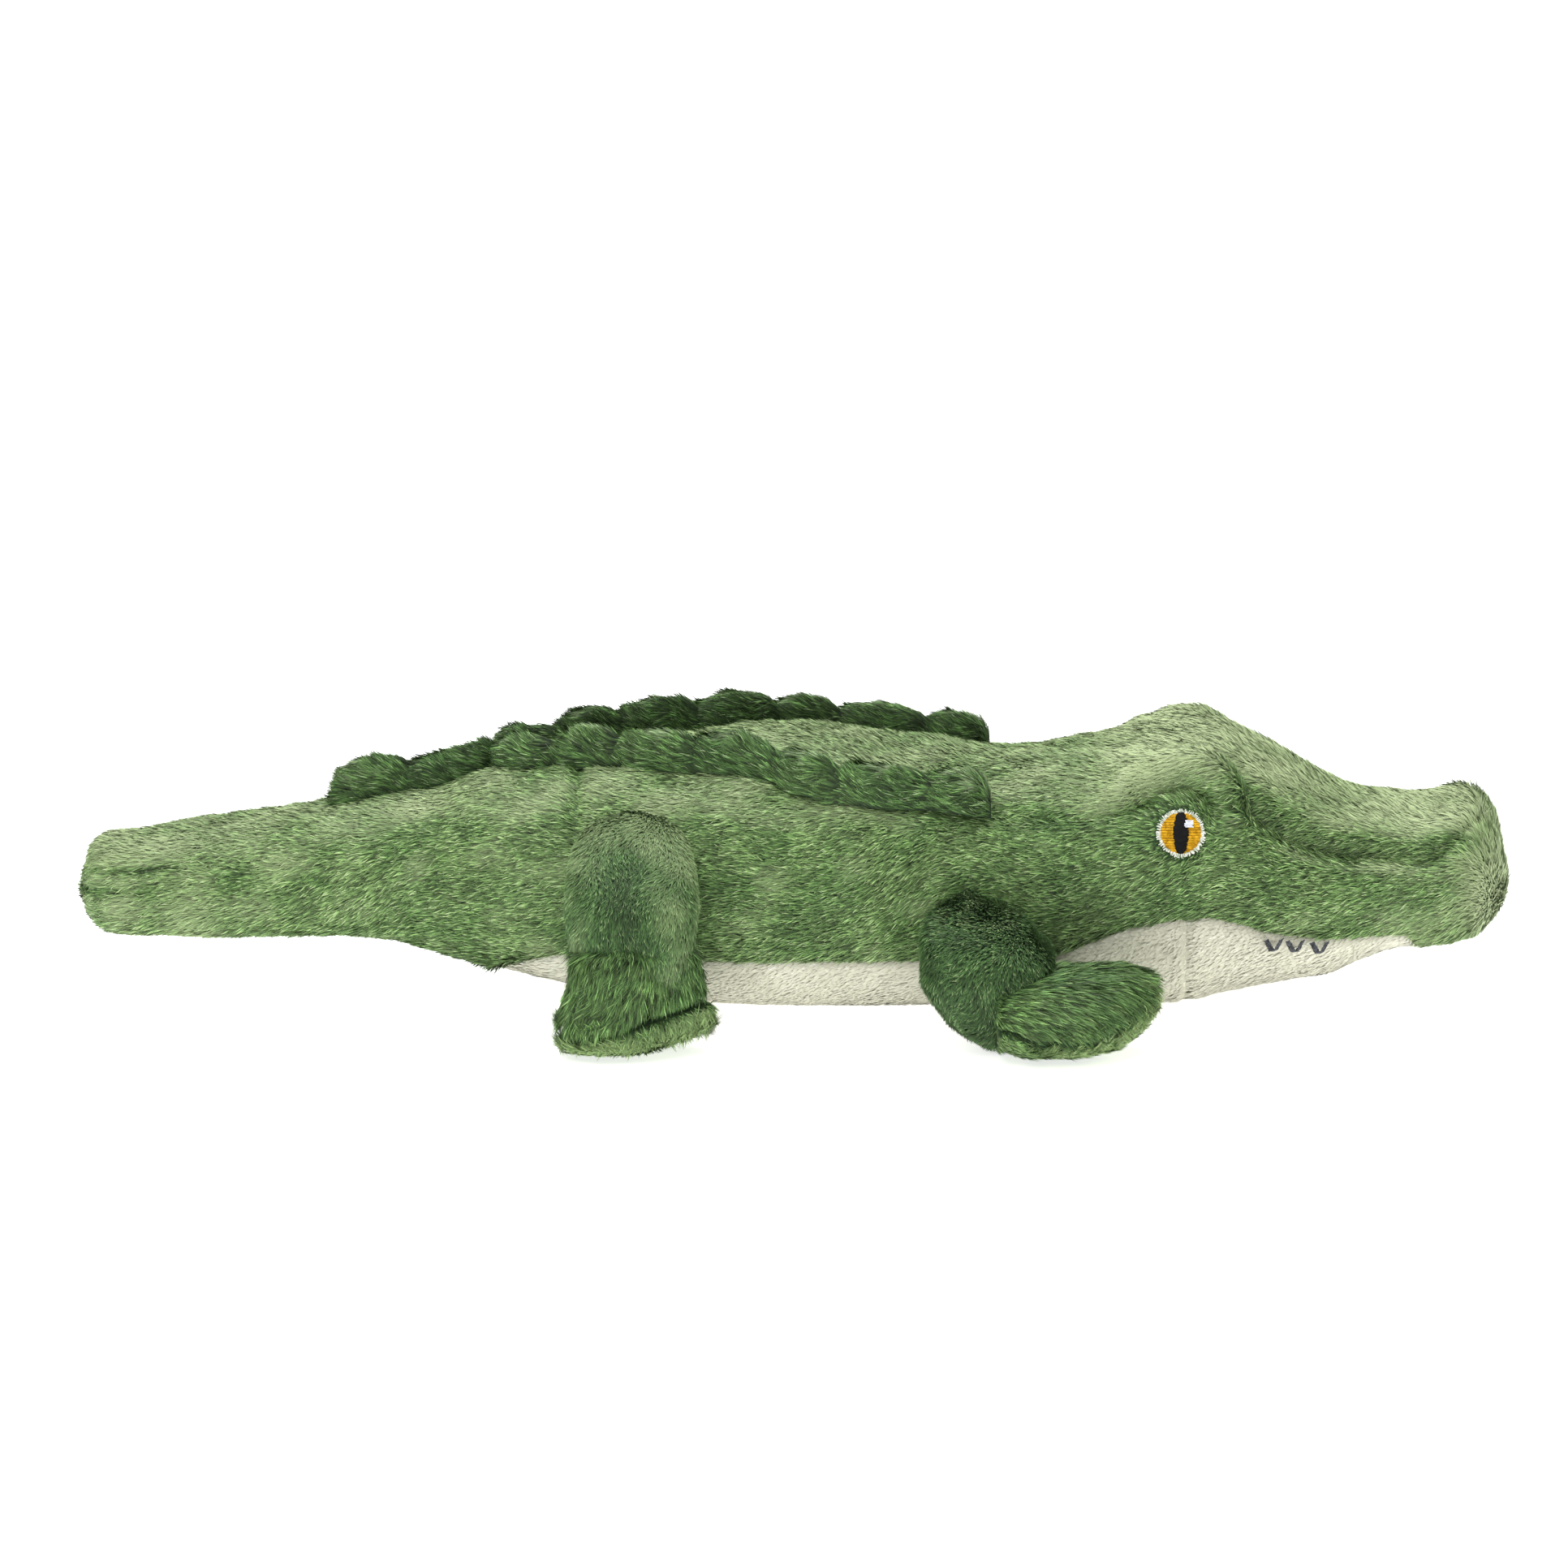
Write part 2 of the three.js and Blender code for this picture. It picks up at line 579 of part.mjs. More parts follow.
// Sewn scalloped strips that stand on the seams
function fin(from, to, scallopCount, turnAt, carrier) {
  const count = scallopCount * scallopStepCount;
  const rings = [];
  for (let i = 0; i <= count; i += 1) {
    const along = i / count;
    const at = from + (to - from) * along;
    const foot = skinPoint(at, turnAt(at));
    const ahead = skinPoint(at + smallShare, turnAt(at + smallShare)).sub(foot).setZ(0).normalize();
    const across = new THREE.Vector3(-ahead.y, ahead.x, 0);
    const wave = Math.abs(Math.sin(Math.PI * scallopCount * along));
    const end = Math.min(1, Math.min(along, 1 - along) * 2 * scallopCount);
    const close = Math.sqrt(1 - (1 - end) ** 2);
    const fromEnd = (share) => share + (1 - share) * close;
    const height = finHeight * (1 - scallopDipShare * (1 - wave)) * fromEnd(endHeightShare);
    const thickness = finThickness * fromEnd(endThicknessShare);
    rings.push(finOutlineShares.map(([side, up]) => foot.clone()
      .addScaledVector(across, side * thickness)
      .setZ(foot.z + (up === 0 ? -finSink : up * height))));
  }
  const width = finOutlineShares.length;
  const triangles = [];
  for (let i = 0; i < count; i += 1) {
    for (let j = 0; j < width; j += 1) {
      const next = (j + 1) % width;
      quad(triangles, i * width + j, (i + 1) * width + j, (i + 1) * width + next, i * width + next);
    }
  }
  for (let j = 1; j < width - 1; j += 1) {
    triangles.push([0, j, j + 1], [count * width, count * width + j + 1, count * width + j]);
  }
  return solidFrom(rings.flat(), triangles).subtract(carrier);
}

// Embroidery is a thin layer on the head, cut to an outline that is pushed through it
const headCover = (inset) => bodySolid(torsoTo, 1, headCounts, inset);
const stitchLayer = headCover(-seamGap - stitchHeight).subtract(headCover(-seamGap));

function prism(shape, place, normal) {
  const geometry = new THREE.ExtrudeGeometry(shape, {
    depth: eyeDiameter, bevelEnabled: false, curveSegments: 6,
  });
  const side = new THREE.Vector3(1, 0, 0).cross(normal).normalize();
  const forward = normal.clone().cross(side).negate().normalize();
  const frame = new THREE.Matrix4().makeBasis(forward, normal.clone().cross(forward), normal);
  geometry.translate(0, 0, -eyeDiameter / 2).applyMatrix4(frame);
  return solidOf(geometry.translate(place.x, place.y, place.z));
}

function disc(diameter, x, y) {
  const shape = new THREE.Shape();
  shape.absarc(x, y, diameter / 2, 0, 2 * Math.PI);
  return shape;
}

function addEyes() {
  const place = insetPoint(eyeAtShare, eyeTurnShare, 0);
  const normal = insetPoint(eyeAtShare, eyeTurnShare, -seamGap).sub(place).normalize();
  const irisDiameter = eyeDiameter - 2 * eyeRingWidth;
  const pupil = new THREE.Shape();
  pupil.absellipse(0, 0, pupilWidth / 2, irisDiameter / 2 * pupilEndShare, 0, 2 * Math.PI);
  const widePupil = new THREE.Shape();
  widePupil.absellipse(0, 0, pupilWidth / 2 + seamGap, irisDiameter / 2 * pupilEndShare + seamGap, 0,
    2 * Math.PI);
  const cut = (shape) => prism(shape, place, normal);
  const glintHole = cut(disc(glintDiameter + 2 * seamGap, glintForward, glintUp));
  const iris = cut(disc(irisDiameter - 2 * seamGap, 0, 0)).subtract(cut(widePupil)).subtract(glintHole);
  const ring = cut(disc(eyeDiameter, 0, 0)).subtract(cut(disc(irisDiameter, 0, 0)));
  addPair('eye_ring', ring.intersect(stitchLayer), ringThread);
  addPair('eye_iris', iris.intersect(stitchLayer), amberThread);
  addPair('eye_pupil', cut(pupil).subtract(glintHole).intersect(stitchLayer), blackThread);
  addPair('eye_glint', cut(disc(glintDiameter, glintForward, glintUp)).intersect(stitchLayer),
    glintThread);
}

function addTeeth() {
  const half = toothWidth / 2;
  const outline = [[-half, 0], [-half + toothThread, 0], [0, toothThread - toothDrop],
    [half - toothThread, 0], [half, 0], [toothThread / 2, -toothDrop], [-toothThread / 2, -toothDrop]];
  const shape = new THREE.Shape(outline.map(([x, y]) => new THREE.Vector2(x, y + toothDrop / 2)));
  toothPlaceShares.forEach(([at, height], number) => {
    const place = new THREE.Vector3(placeX(at), section(at).half, height * backHeight);
    const tooth = prism(shape, place, new THREE.Vector3(0, 1, 0)).intersect(stitchLayer);
    addPair(`tooth_${number + 1}`, tooth, toothThreadGrey);
  });
}

function addTorso() {
  const [from, to, counts] = [torsoFrom, torsoTo, torsoCounts];
  const [bellyFrom, backFrom] = [bellySeamShares[0][0], backSeamShares[0][0]];
  const sockets = [hindLeg, frontLeg].map((leg) => crossBar(plugRadius + seamGap,
    placeX(leg.hipAtShare), leg.hipHeightShare * backHeight, legInner - plugDepth - seamGap, farOut));
  const bored = sockets.reduce((all, socket) => all.add(socket).add(mirrored(socket)), sockets[0]);
  const keep = (solid) => keepTorso(solid).subtract(bored);
  addPiece('back_panel', keep(backPanel(backFrom, to, counts)), bodyGreen);
  addPiece('side_panel_left', keep(leftPanel(from, to, counts)), bodyGreen);
  addPiece('side_panel_right', keep(rightPanel(from, to, counts)), bodyGreen);
  addPiece('belly_panel', keep(bellyPanel(bellyFrom, to, counts)), bellyWhite);
  const core = keep(bodySolid(from, to, counts, skin + seamGap));
  const pouch = (grow) => solidOf(new THREE.SphereGeometry(0.5, 12, 6)
    .scale(pouchLength + 2 * grow, pouchWidth + 2 * grow, pouchHeight + 2 * grow)
    .translate(placeX(pouchAtShare), 0, skin + pouchHeight / 3));
  addPiece('torso_filling', core.subtract(pouch(seamGap)), fibreWhite);
  addPiece('pellet_pouch', pouch(0).intersect(core), pouchCotton);
  const cover = bodySolid(from, to, counts, -seamGap);
  addPair('back_fin', fin(backFin.fromShare, backFin.toShare, backFin.scallopCount, backSeam, cover),
    finGreen);
}

function addHead() {
  const counts = headCounts;
  const skinFrom = headCoreFrom;
  const [jawTo, topTo] = [bellySeamShares.at(-1)[0], backSeamShares.at(-1)[0]];
  addPiece('head_top_panel', keepHead(backPanel(skinFrom, topTo, counts)), bodyGreen);
  addPiece('head_side_panel_left', keepHead(leftPanel(skinFrom, 1, counts)), bodyGreen);
  addPiece('head_side_panel_right', keepHead(rightPanel(skinFrom, 1, counts)), bodyGreen);
  addPiece('jaw_panel', keepHead(bellyPanel(skinFrom, jawTo, counts)), bellyWhite);
  addPiece('head_filling', keepHead(bodySolid(headCoreFrom, 1, counts, skin + seamGap)), fibreWhite);
  addEyes();
  addTeeth();
}

function addTail() {
  addPiece('tail_panel_left', keepTail(leftPanel(0, tailSkinTo, tailCounts)), bodyGreen);
  addPiece('tail_panel_right', keepTail(rightPanel(0, tailSkinTo, tailCounts)), bodyGreen);
  addPiece('tail_filling', keepTail(bodySolid(0, tailCoreTo, tailCounts, skin + seamGap)), fibreWhite);
  const cover = bodySolid(0, tailCoreTo, tailCounts, -seamGap)
    .add(bodySolid(torsoFrom, tailCoreTo, tailCounts, -bendGap));
  addPiece('tail_fin', fin(tailFin.fromShare, tailFin.toShare, tailFin.scallopCount, () => 1, cover),
    finGreen);
}

function addLegs() {
  addLegAndFoot('hind', hindLeg, hindFoot, hindFootForm,
    () => slab(-overrun, hindFoot.ankleHeight),
    () => slab(-overrun, hindFoot.ankleHeight));
  const ahead = (x, top) => box(new THREE.Vector3(x, 0, -overrun),
    new THREE.Vector3(bodyLength, farOut, top));
  addLegAndFoot('front', frontLeg, frontFoot, frontFootForm,
    (x) => ahead(x, backHeight),
    (x) => ahead(x, frontFoot.ankleHeight + frontFoot.ankleRadius + frontFoot.overhang));
}

addTorso();
addHead();
addTail();
addLegs();

export default toy;
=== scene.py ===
"""A stuffed toy crocodile that lies on its belly.

Plush skins with real pile wrap the filling, scalloped strips run along the back, and the eyes and
teeth are embroidered. X runs from the tail tip to the nose, Y points to the toy's left, Z is up.
"""
import json
import math

import bmesh
import bpy
import numpy as np
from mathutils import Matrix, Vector

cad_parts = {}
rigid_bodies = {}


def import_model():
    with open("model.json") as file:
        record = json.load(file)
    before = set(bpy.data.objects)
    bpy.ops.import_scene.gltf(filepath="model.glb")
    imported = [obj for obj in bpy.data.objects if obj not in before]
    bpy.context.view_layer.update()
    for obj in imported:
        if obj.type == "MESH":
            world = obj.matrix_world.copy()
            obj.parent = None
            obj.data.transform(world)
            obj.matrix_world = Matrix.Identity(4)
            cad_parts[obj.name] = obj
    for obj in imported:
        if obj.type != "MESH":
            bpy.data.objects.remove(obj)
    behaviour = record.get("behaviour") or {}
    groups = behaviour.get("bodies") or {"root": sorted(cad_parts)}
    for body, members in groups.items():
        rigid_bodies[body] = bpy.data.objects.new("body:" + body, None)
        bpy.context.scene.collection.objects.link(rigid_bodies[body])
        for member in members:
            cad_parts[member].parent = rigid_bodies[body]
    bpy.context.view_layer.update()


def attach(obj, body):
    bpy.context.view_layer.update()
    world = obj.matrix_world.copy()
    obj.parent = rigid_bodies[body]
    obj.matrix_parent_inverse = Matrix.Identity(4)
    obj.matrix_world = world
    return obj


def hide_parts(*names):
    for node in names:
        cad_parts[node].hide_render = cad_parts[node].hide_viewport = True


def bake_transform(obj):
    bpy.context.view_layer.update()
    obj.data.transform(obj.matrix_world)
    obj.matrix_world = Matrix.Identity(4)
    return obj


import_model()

MM = 0.001

# Driving sizes
body_length = 380 * MM
back_height = 75 * MM
body_width = 92 * MM
leg_inner = body_width / 2 + 0.5 * MM

# The body's section along its length: place, top, bottom and half width, as shares of the body's
# length, back height, back height and half width
body_shares = [
    (0.000, 0.445, 0.400, 0.05), (0.008, 0.565, 0.300, 0.22), (0.020, 0.610, 0.250, 0.31),
    (0.045, 0.625, 0.233, 0.375), (0.080, 0.660, 0.233, 0.41), (0.130, 0.690, 0.228, 0.445),
    (0.185, 0.741, 0.235, 0.49), (0.220, 0.773, 0.222, 0.545), (0.242, 0.792, 0.194, 0.58),
    (0.258, 0.816, 0.170, 0.61), (0.275, 0.854, 0.147, 0.65), (0.290, 0.878, 0.125, 0.685),
    (0.305, 0.889, 0.108, 0.73), (0.325, 0.903, 0.085, 0.79), (0.370, 0.932, 0.045, 0.90),
    (0.420, 0.957, 0.015, 0.975), (0.480, 0.985, -0.004, 1.00), (0.540, 0.993, -0.0067, 1.00),
    (0.592, 0.973, -0.0067, 0.955), (0.630, 0.940, -0.0067, 0.90), (0.665, 0.925, -0.0067, 0.858),
    (0.705, 0.950, -0.0067, 0.838), (0.742, 0.985, -0.0067, 0.838), (0.774, 0.990, 0.000, 0.825),
    (0.798, 0.990, 0.030, 0.80), (0.822, 0.950, 0.053, 0.76), (0.848, 0.890, 0.077, 0.715),
    (0.874, 0.815, 0.100, 0.685), (0.896, 0.768, 0.150, 0.66), (0.922, 0.752, 0.195, 0.65),
    (0.952, 0.730, 0.215, 0.66), (0.976, 0.725, 0.250, 0.63), (0.991, 0.665, 0.325, 0.50),
    (0.998, 0.540, 0.400, 0.31), (1.000, 0.472, 0.446, 0.06),
]
section_fullness = 2.25

# How far round from the belly line each seam lies, as a share of half a turn
belly_seam_shares = [
    (0.279, 0.00), (0.300, 0.20), (0.337, 0.32), (0.370, 0.355), (0.480, 0.361), (0.637, 0.361),
    (0.680, 0.372), (0.696, 0.392), (0.739, 0.442), (0.765, 0.454), (0.784, 0.450), (0.807, 0.430),
    (0.830, 0.402), (0.852, 0.378), (0.881, 0.363), (0.909, 0.305), (0.931, 0.262), (0.940, 0.00),
]
back_seam_shares = [
    (0.286, 1.000), (0.303, 0.965), (0.355, 0.935), (0.400, 0.892), (0.463, 0.848), (0.510, 0.778),
    (0.563, 0.744), (0.618, 0.746), (0.645, 0.735), (0.670, 0.722), (0.706, 0.706), (0.730, 0.706),
    (0.750, 0.728), (0.767, 0.737), (0.782, 0.720), (0.795, 0.690), (0.812, 0.680), (0.852, 0.658),
    (0.875, 0.662), (0.909, 0.658), (0.939, 0.640), (0.960, 0.695), (0.978, 0.800), (0.985, 1.000),
]
split_share = 0.5

# Bumps of the head: height, span, outward place and share of the length
brow = dict(height=5 * MM, span=14 * MM, out=23 * MM, share=0.789)
nostril = dict(height=3.4 * MM, span=10 * MM, out=19 * MM, share=0.966)
crease = dict(depth=3 * MM, start=0.79, end=0.965, width=0.055)

# Embroidery
eye_share = 0.7690
eye_turn = 0.630
eye_diameter = 12.8 * MM
eye_ring_width = 0.8 * MM
eye_curve = 34 * MM
eye_base = 0.55 * MM
eye_rim = 2.2 * MM
eye_row_pitch = 0.44 * MM
eye_ring_stitches = 104
# How proud of the pad each part of the eye is sewn, and how far a stitch bulges
ring_lift = 0.12 * MM
pupil_lift = 0.22 * MM
glint_lift = 0.38 * MM
row_bulge = 0.14 * MM
ring_bulge = 0.16 * MM
pupil_width = 3.9 * MM
pupil_end_share = 1.02
glint_forward = 2.1 * MM
glint_up = 2.4 * MM
glint_half = 0.95 * MM
glint_pitch = 0.27 * MM
thread = 0.36 * MM
tooth_width = 4.8 * MM
tooth_drop = 2.8 * MM
tooth_stitches = 34
tooth_places = [(0.834, 0.302), (0.849, 0.294), (0.866, 0.285)]

# Scalloped strips
fin_height = 10.5 * MM
fin_thickness = 6.4 * MM
fin_sink = 2.5 * MM
fin_pile_rise = 2.4 * MM
fin_valley = 0.38
fin_sway = 1.1 * MM
fin_steps = 16
fin_points_round = 26
# valleys is where a strip dips, heights how tall it is along its length
back_fin = dict(start=0.295, end=0.637, valleys=(0, 0.12, 0.25, 0.41, 0.57, 0.70, 0.88, 1),
                heights=((0, 0.70), (0.04, 0.70), (0.08, 0.66), (0.12, 0.80), (0.18, 0.95), (1, 1)))
tail_fin = dict(start=0.182, end=0.294, valleys=(0, 0.47, 1),
                heights=((0, 1), (0.45, 1), (0.6, 0.76), (1, 0.55)))

# Pile: how far the fabric lies under the tips of its fur
body_pile = 3.4 * MM
skin_depth = 1.5 * MM
leg_depth = 1.7 * MM
foot_depth = 1.8 * MM

# How tightly the parts are stuffed
body_fill = 0.85
fin_fill = 0.7

# How deep and how wide a seam draws the fabric in
belly_seam_draw = (0.9 * MM, 1.6 * MM)
back_seam_draw = (0.7 * MM, 3.0 * MM)

# The back sinks before the neck: where the dip starts, is full, starts to leave and ends
neck_dip_places = (0.50, 0.57, 0.62, 0.67)
neck_dip_depth = 2.2 * MM


def read_share(table, at, column):
    """One column of a table at many places, on a smooth curve through its rows."""
    rows = np.array(table, float)
    places, values = rows[:, 0], rows[:, column]
    rise = np.diff(values) / np.diff(places)
    before, after = rise[:-1], rise[1:]
    total = before + after
    safe = np.where(total == 0, 1, total)
    inner = np.where(before * after <= 0, 0, 2 * before * after / safe)
    slope = np.concatenate([[rise[0]], inner, [rise[-1]]])
    at = np.clip(np.asarray(at, float), places[0], places[-1])
    row = np.clip(np.searchsorted(places, at, side="right") - 1, 0, len(places) - 2)
    width = places[row + 1] - places[row]
    t = (at - places[row]) / width
    return (values[row] * (1 + 2 * t) * (1 - t) ** 2 + values[row + 1] * t * t * (3 - 2 * t)
            + width * (slope[row] * t * (1 - t) ** 2 + slope[row + 1] * t * t * (t - 1)))


def place_x(at):
    return (np.asarray(at, float) - 0.5) * body_length


def belly_seam(at):
    inside = (np.asarray(at) >= belly_seam_shares[0][0]) & (np.asarray(at) <= belly_seam_shares[-1][0])
    return np.where(inside, read_share(belly_seam_shares, at, 1), 0.0)


def back_seam(at):
    inside = (np.asarray(at) >= back_seam_shares[0][0]) & (np.asarray(at) <= back_seam_shares[-1][0])
    return np.where(inside, read_share(back_seam_shares, at, 1), 1.0)


def rounded(value, fullness):
    return np.sign(value) * np.abs(value) ** (2 / fullness)


def section(at):
    top = read_share(body_shares, at, 1) * back_height
    bottom = read_share(body_shares, at, 2) * back_height
    half = read_share(body_shares, at, 3) * body_width / 2
    return (top + bottom) / 2, (top - bottom) / 2, half


def bump(x, y, height, span, out, share):
    along = (x - place_x(share)) / span
    across = (np.abs(y) - out) / span * math.sqrt(2)
    return height * np.exp(-along ** 2 - across ** 2)


def body_point(at, turn):
    """The toy's outline: turn is 0 on the belly line, 0.5 on the left side, 1 on the back line."""
    middle, rise, half = section(at)
    x = place_x(at)
    y = half * rounded(np.sin(turn * math.pi), section_fullness)
    z = -rise * rounded(np.cos(turn * math.pi), section_fullness)
    folded = np.where(turn > 1, 2 - turn, np.abs(turn))
    along = (at - crease["start"]) / (crease["end"] - crease["start"])
    fade = np.where((along > 0) & (along < 1), np.sin(math.pi * np.clip(along, 0, 1)), 0)
    near = np.exp(-(((folded - back_seam(at)) / crease["width"]) ** 2))
    pull = 1 - crease["depth"] * fade * near / np.maximum(np.hypot(y, z), MM)
    y, z = y * pull, z * pull
    lift = bump(x, y, **brow) + bump(x, y, **nostril)
    z = np.where(z > 0, z + lift, z)
    return np.stack([x, y, z + middle], axis=-1)


def unit(vectors):
    length = np.linalg.norm(vectors, axis=-1, keepdims=True)
    return vectors / np.maximum(length, 1e-12)


def body_normal(at, turn):
    step = 1e-3
    low, high = np.maximum(at - step, 0), np.minimum(at + step, 1)
    along = body_point(high, turn) - body_point(low, turn)
    around = body_point(at, turn + step) - body_point(at, turn - step)
    return unit(np.cross(around, along))


def ripple(points, wavelength, seed, waves=10):
    """Smooth noise of about -1 to 1 with a given wavelength."""
    draw = np.random.default_rng(seed)
    direction = unit(draw.normal(size=(waves, 3)))
    phase = draw.uniform(0, 2 * math.pi, waves)
    speed = draw.uniform(0.7, 1.4, waves) * 2 * math.pi / wavelength
    flat = points.reshape(-1, 3)
    total = np.zeros(len(flat))
    for d, p, s in zip(direction, phase, speed):
        total += np.sin(flat @ d * s + p)
    return (total / math.sqrt(waves / 2) * 0.7).reshape(points.shape[:-1])


def hill(distance, width):
    return np.exp(-(distance / width) ** 2)


def smooth(low, high, value):
    t = np.clip((value - low) / (high - low), 0, 1)
    return t * t * (3 - 2 * t)


# Places on the head that steer its pile
eye_spot = np.array(eye_share), np.array(eye_turn)
eye_place = body_point(*eye_spot)
whorl_place = np.array([180 * MM, 25 * MM, 43 * MM])


def side_crease(points, start, end, width):
    """How near points are to a crease on the flanks, given by its ends in X and Z."""
    a, b = np.array(start) * MM, np.array(end) * MM
    flat = points[..., [0, 2]]
    t = np.clip(((flat - a) @ (b - a)) / ((b - a) @ (b - a)), 0, 1)
    distance = np.linalg.norm(flat - (a + t[..., None] * (b - a)), axis=-1)
    return hill(distance, width * MM)


# Creases of the flanks: ends in X and Z, width and depth, all in millimetres
flank_creases = [
    ((-56, 69), (-57, 55), 1.8, 1.3),
    ((-93, 52), (-93, 36), 2.2, 0.9),
    ((-108, 26), (-106, 36), 2.5, 0.8),
    ((-100, 24), (-101, 33), 2.5, 0.7),
    ((36, 44), (44, 56), 3.5, 1.0),
    ((-22, 52), (-14, 44), 3.5, 0.9),
    ((8, 34), (16, 26), 4.0, 0.7),
    ((104.5, 30), (104.5, 2), 1.5, 1.1),
    ((-189, 32), (-168, 34), 1.1, 1.0),
]


# Folds of the head: a line through (place, turn) pairs, its width and its height in millimetres
head_folds = [
    ([(0.730, 0.752), (0.736, 0.787), (0.747, 0.809), (0.768, 0.805), (0.784, 0.780), (0.796, 0.751),
      (0.806, 0.716), (0.811, 0.663)], 3.3, 3.4),
    ([(0.745, 0.716), (0.753, 0.739), (0.767, 0.739), (0.781, 0.721), (0.791, 0.691), (0.794, 0.657)],
     2.8, -2.2),
    ([(0.800, 0.838), (0.814, 0.805), (0.819, 0.751), (0.821, 0.699)], 3.2, -1.9),
]


# Painted shade along seams and creases of the pile, and painted light along one line by the nose: a line
# through (place, turn) pairs, its width in millimetres and how much darker it is, or paler below 0
painted_line_shading = [
    ([(0.002, 0.671), (0.025, 0.643), (0.048, 0.647), (0.071, 0.643)], 0.8, 1.0),
    ([(0.815, 0.800), (0.822, 0.751), (0.822, 0.699)], 2.2, 0.18),
    ([(0.961, 0.690), (0.968, 0.679), (0.974, 0.692)], 2.2, 0.28),
    ([(0.959, 0.750), (0.968, 0.775), (0.980, 0.815), (0.990, 0.850), (0.995, 0.800), (0.994, 0.650)],
     2.2, -0.15),
    ([(0.353, 0.909), (0.353, 0.831), (0.352, 0.760)], 1.0, 0.1),
    ([(0.655, 0.729), (0.680, 0.716), (0.706, 0.706), (0.730, 0.706)], 0.6, 0.3),
]


def line_on_body(pairs, depth=0.0):
    """A line along the toy's left side through (place, turn) pairs, at a depth under the pile's tips."""
    rows = np.array(pairs)
    share = np.linspace(0, len(rows) - 1, 8 * len(rows))
    at, turn = (np.interp(share, np.arange(len(rows)), rows[:, i]) for i in (0, 1))
    return body_point(at, turn) - body_normal(at, turn) * depth


def body_line(start, end):
    """The stretch of the left back seam between two places."""
    at = np.linspace(start, end, 60)
    return body_point(at, back_seam(at))


def on_left(points):
    """The same points, all on the toy's left side."""
    return points * np.array([1, 0, 1]) + np.abs(points) * np.array([0, 1, 0])


def near_line(points, line, width):
    """How near points on either side of the toy are to a line on its left side."""
    flat = on_left(points).reshape(-1, 3)
    nearest = np.full(len(flat), 1.0)
    for spot in line:
        nearest = np.minimum(nearest, np.linalg.norm(flat - spot, axis=-1))
    return hill(nearest, width).reshape(points.shape[:-1])


def relief(at, turn, points):
    """How far the fabric stands out from the plain outline."""
    folded = np.where(turn > 1, 2 - turn, np.abs(turn))
    _, rise, half = section(at)
    girth = (rise + half) * math.pi / 2
    height = np.zeros(points.shape[:-1])
    to_belly = (folded - belly_seam(at)) * girth
    to_back = (folded - back_seam(at)) * girth
    belly_on = (at > belly_seam_shares[0][0]) & (at < belly_seam_shares[-1][0])
    belly_depth, belly_width = belly_seam_draw
    height -= belly_depth * hill(to_belly, belly_width) * belly_on
    back_depth, back_width = back_seam_draw
    height -= back_depth * hill(to_back, back_width)
    for start, end, width, depth in flank_creases:
        height -= depth * MM * side_crease(points, start, end, width)
    for pairs, width, rise_of_fold in head_folds:
        height += rise_of_fold * MM * near_line(points, line_on_body(pairs), width * MM)
    height += 0.35 * MM * ripple(points, 34 * MM, seed=3) * (to_belly > 0)
    begins, full, leaves, ends = neck_dip_places
    before_neck = smooth(begins, full, at) * (1 - smooth(leaves, ends, at))
    height -= neck_dip_depth * before_neck * smooth(3 * MM, 16 * MM, to_back)
    return height


class Skin:
    """A sheet of fabric as a grid of points, with what steers the pile on it."""

    def __init__(self, points, normals):
        self.points = points
        self.normals = normals
        self.comb = np.zeros_like(points)
        self.pile = np.ones(points.shape[:2])
        self.growth = np.ones(points.shape[:2])
        self.tint = np.zeros(points.shape[:2])


def grid_faces(rows, columns, closed=False):
    i, j = np.meshgrid(np.arange(rows - 1), np.arange(columns if closed else columns - 1), indexing="ij")
    beside = (j + 1) % columns
    return np.stack([i * columns + j, i * columns + beside, (i + 1) * columns + beside,
                     (i + 1) * columns + j], axis=-1).reshape(-1, 4)


def placed(name, data):
    """A new object in the scene."""
    made = bpy.data.objects.new(name, data)
    bpy.context.scene.collection.objects.link(made)
    return made


def new_piece(name, points, faces, material, soft=True):
    mesh = bpy.data.meshes.new(name)
    points = np.asarray(points, float).reshape(-1, 3)
    mesh.from_pydata(points.tolist(), [], [list(map(int, f)) for f in faces])
    mesh.validate()
    if soft:
        mesh.shade_smooth()
    mesh.materials.append(material)
    return placed(name, mesh)


def store(mesh, name, kind, values):
    attribute = mesh.attributes.new(name, kind, "POINT")
    key = "vector" if kind == "FLOAT_VECTOR" else "value"
    attribute.data.foreach_set(key, np.asarray(values, np.float32).ravel())


def skin_piece(name, skin, material, closed=False):
    """A grid of fabric as a mesh. A closed grid is a tube, and a cap closes each of its ends."""
    rows, columns = skin.points.shape[:2]
    faces = [tuple(f) for f in grid_faces(rows, columns, closed)]
    points = skin.points.reshape(-1, 3)
    centres = []
    ends = (0, rows - 1) if closed else ()
    for row in ends:
        ring = np.arange(columns) + row * columns
        centre = len(points) + len(centres)
        centres.append(points[ring].mean(axis=0))
        pairs = zip(ring, np.roll(ring, -1))
        faces += [(b, a, centre) if row == 0 else (a, b, centre) for a, b in pairs]
    piece = new_piece(name, np.vstack([points, *centres]), faces, material)
    for key in ("comb", "pile", "growth", "tint"):
        grid = getattr(skin, key)
        means = [grid[row].reshape(columns, -1).mean(axis=0) for row in ends]
        store(piece.data, key, "FLOAT_VECTOR" if key == "comb" else "FLOAT",
              np.vstack([grid.reshape(rows * columns, -1), *means]))
    return piece


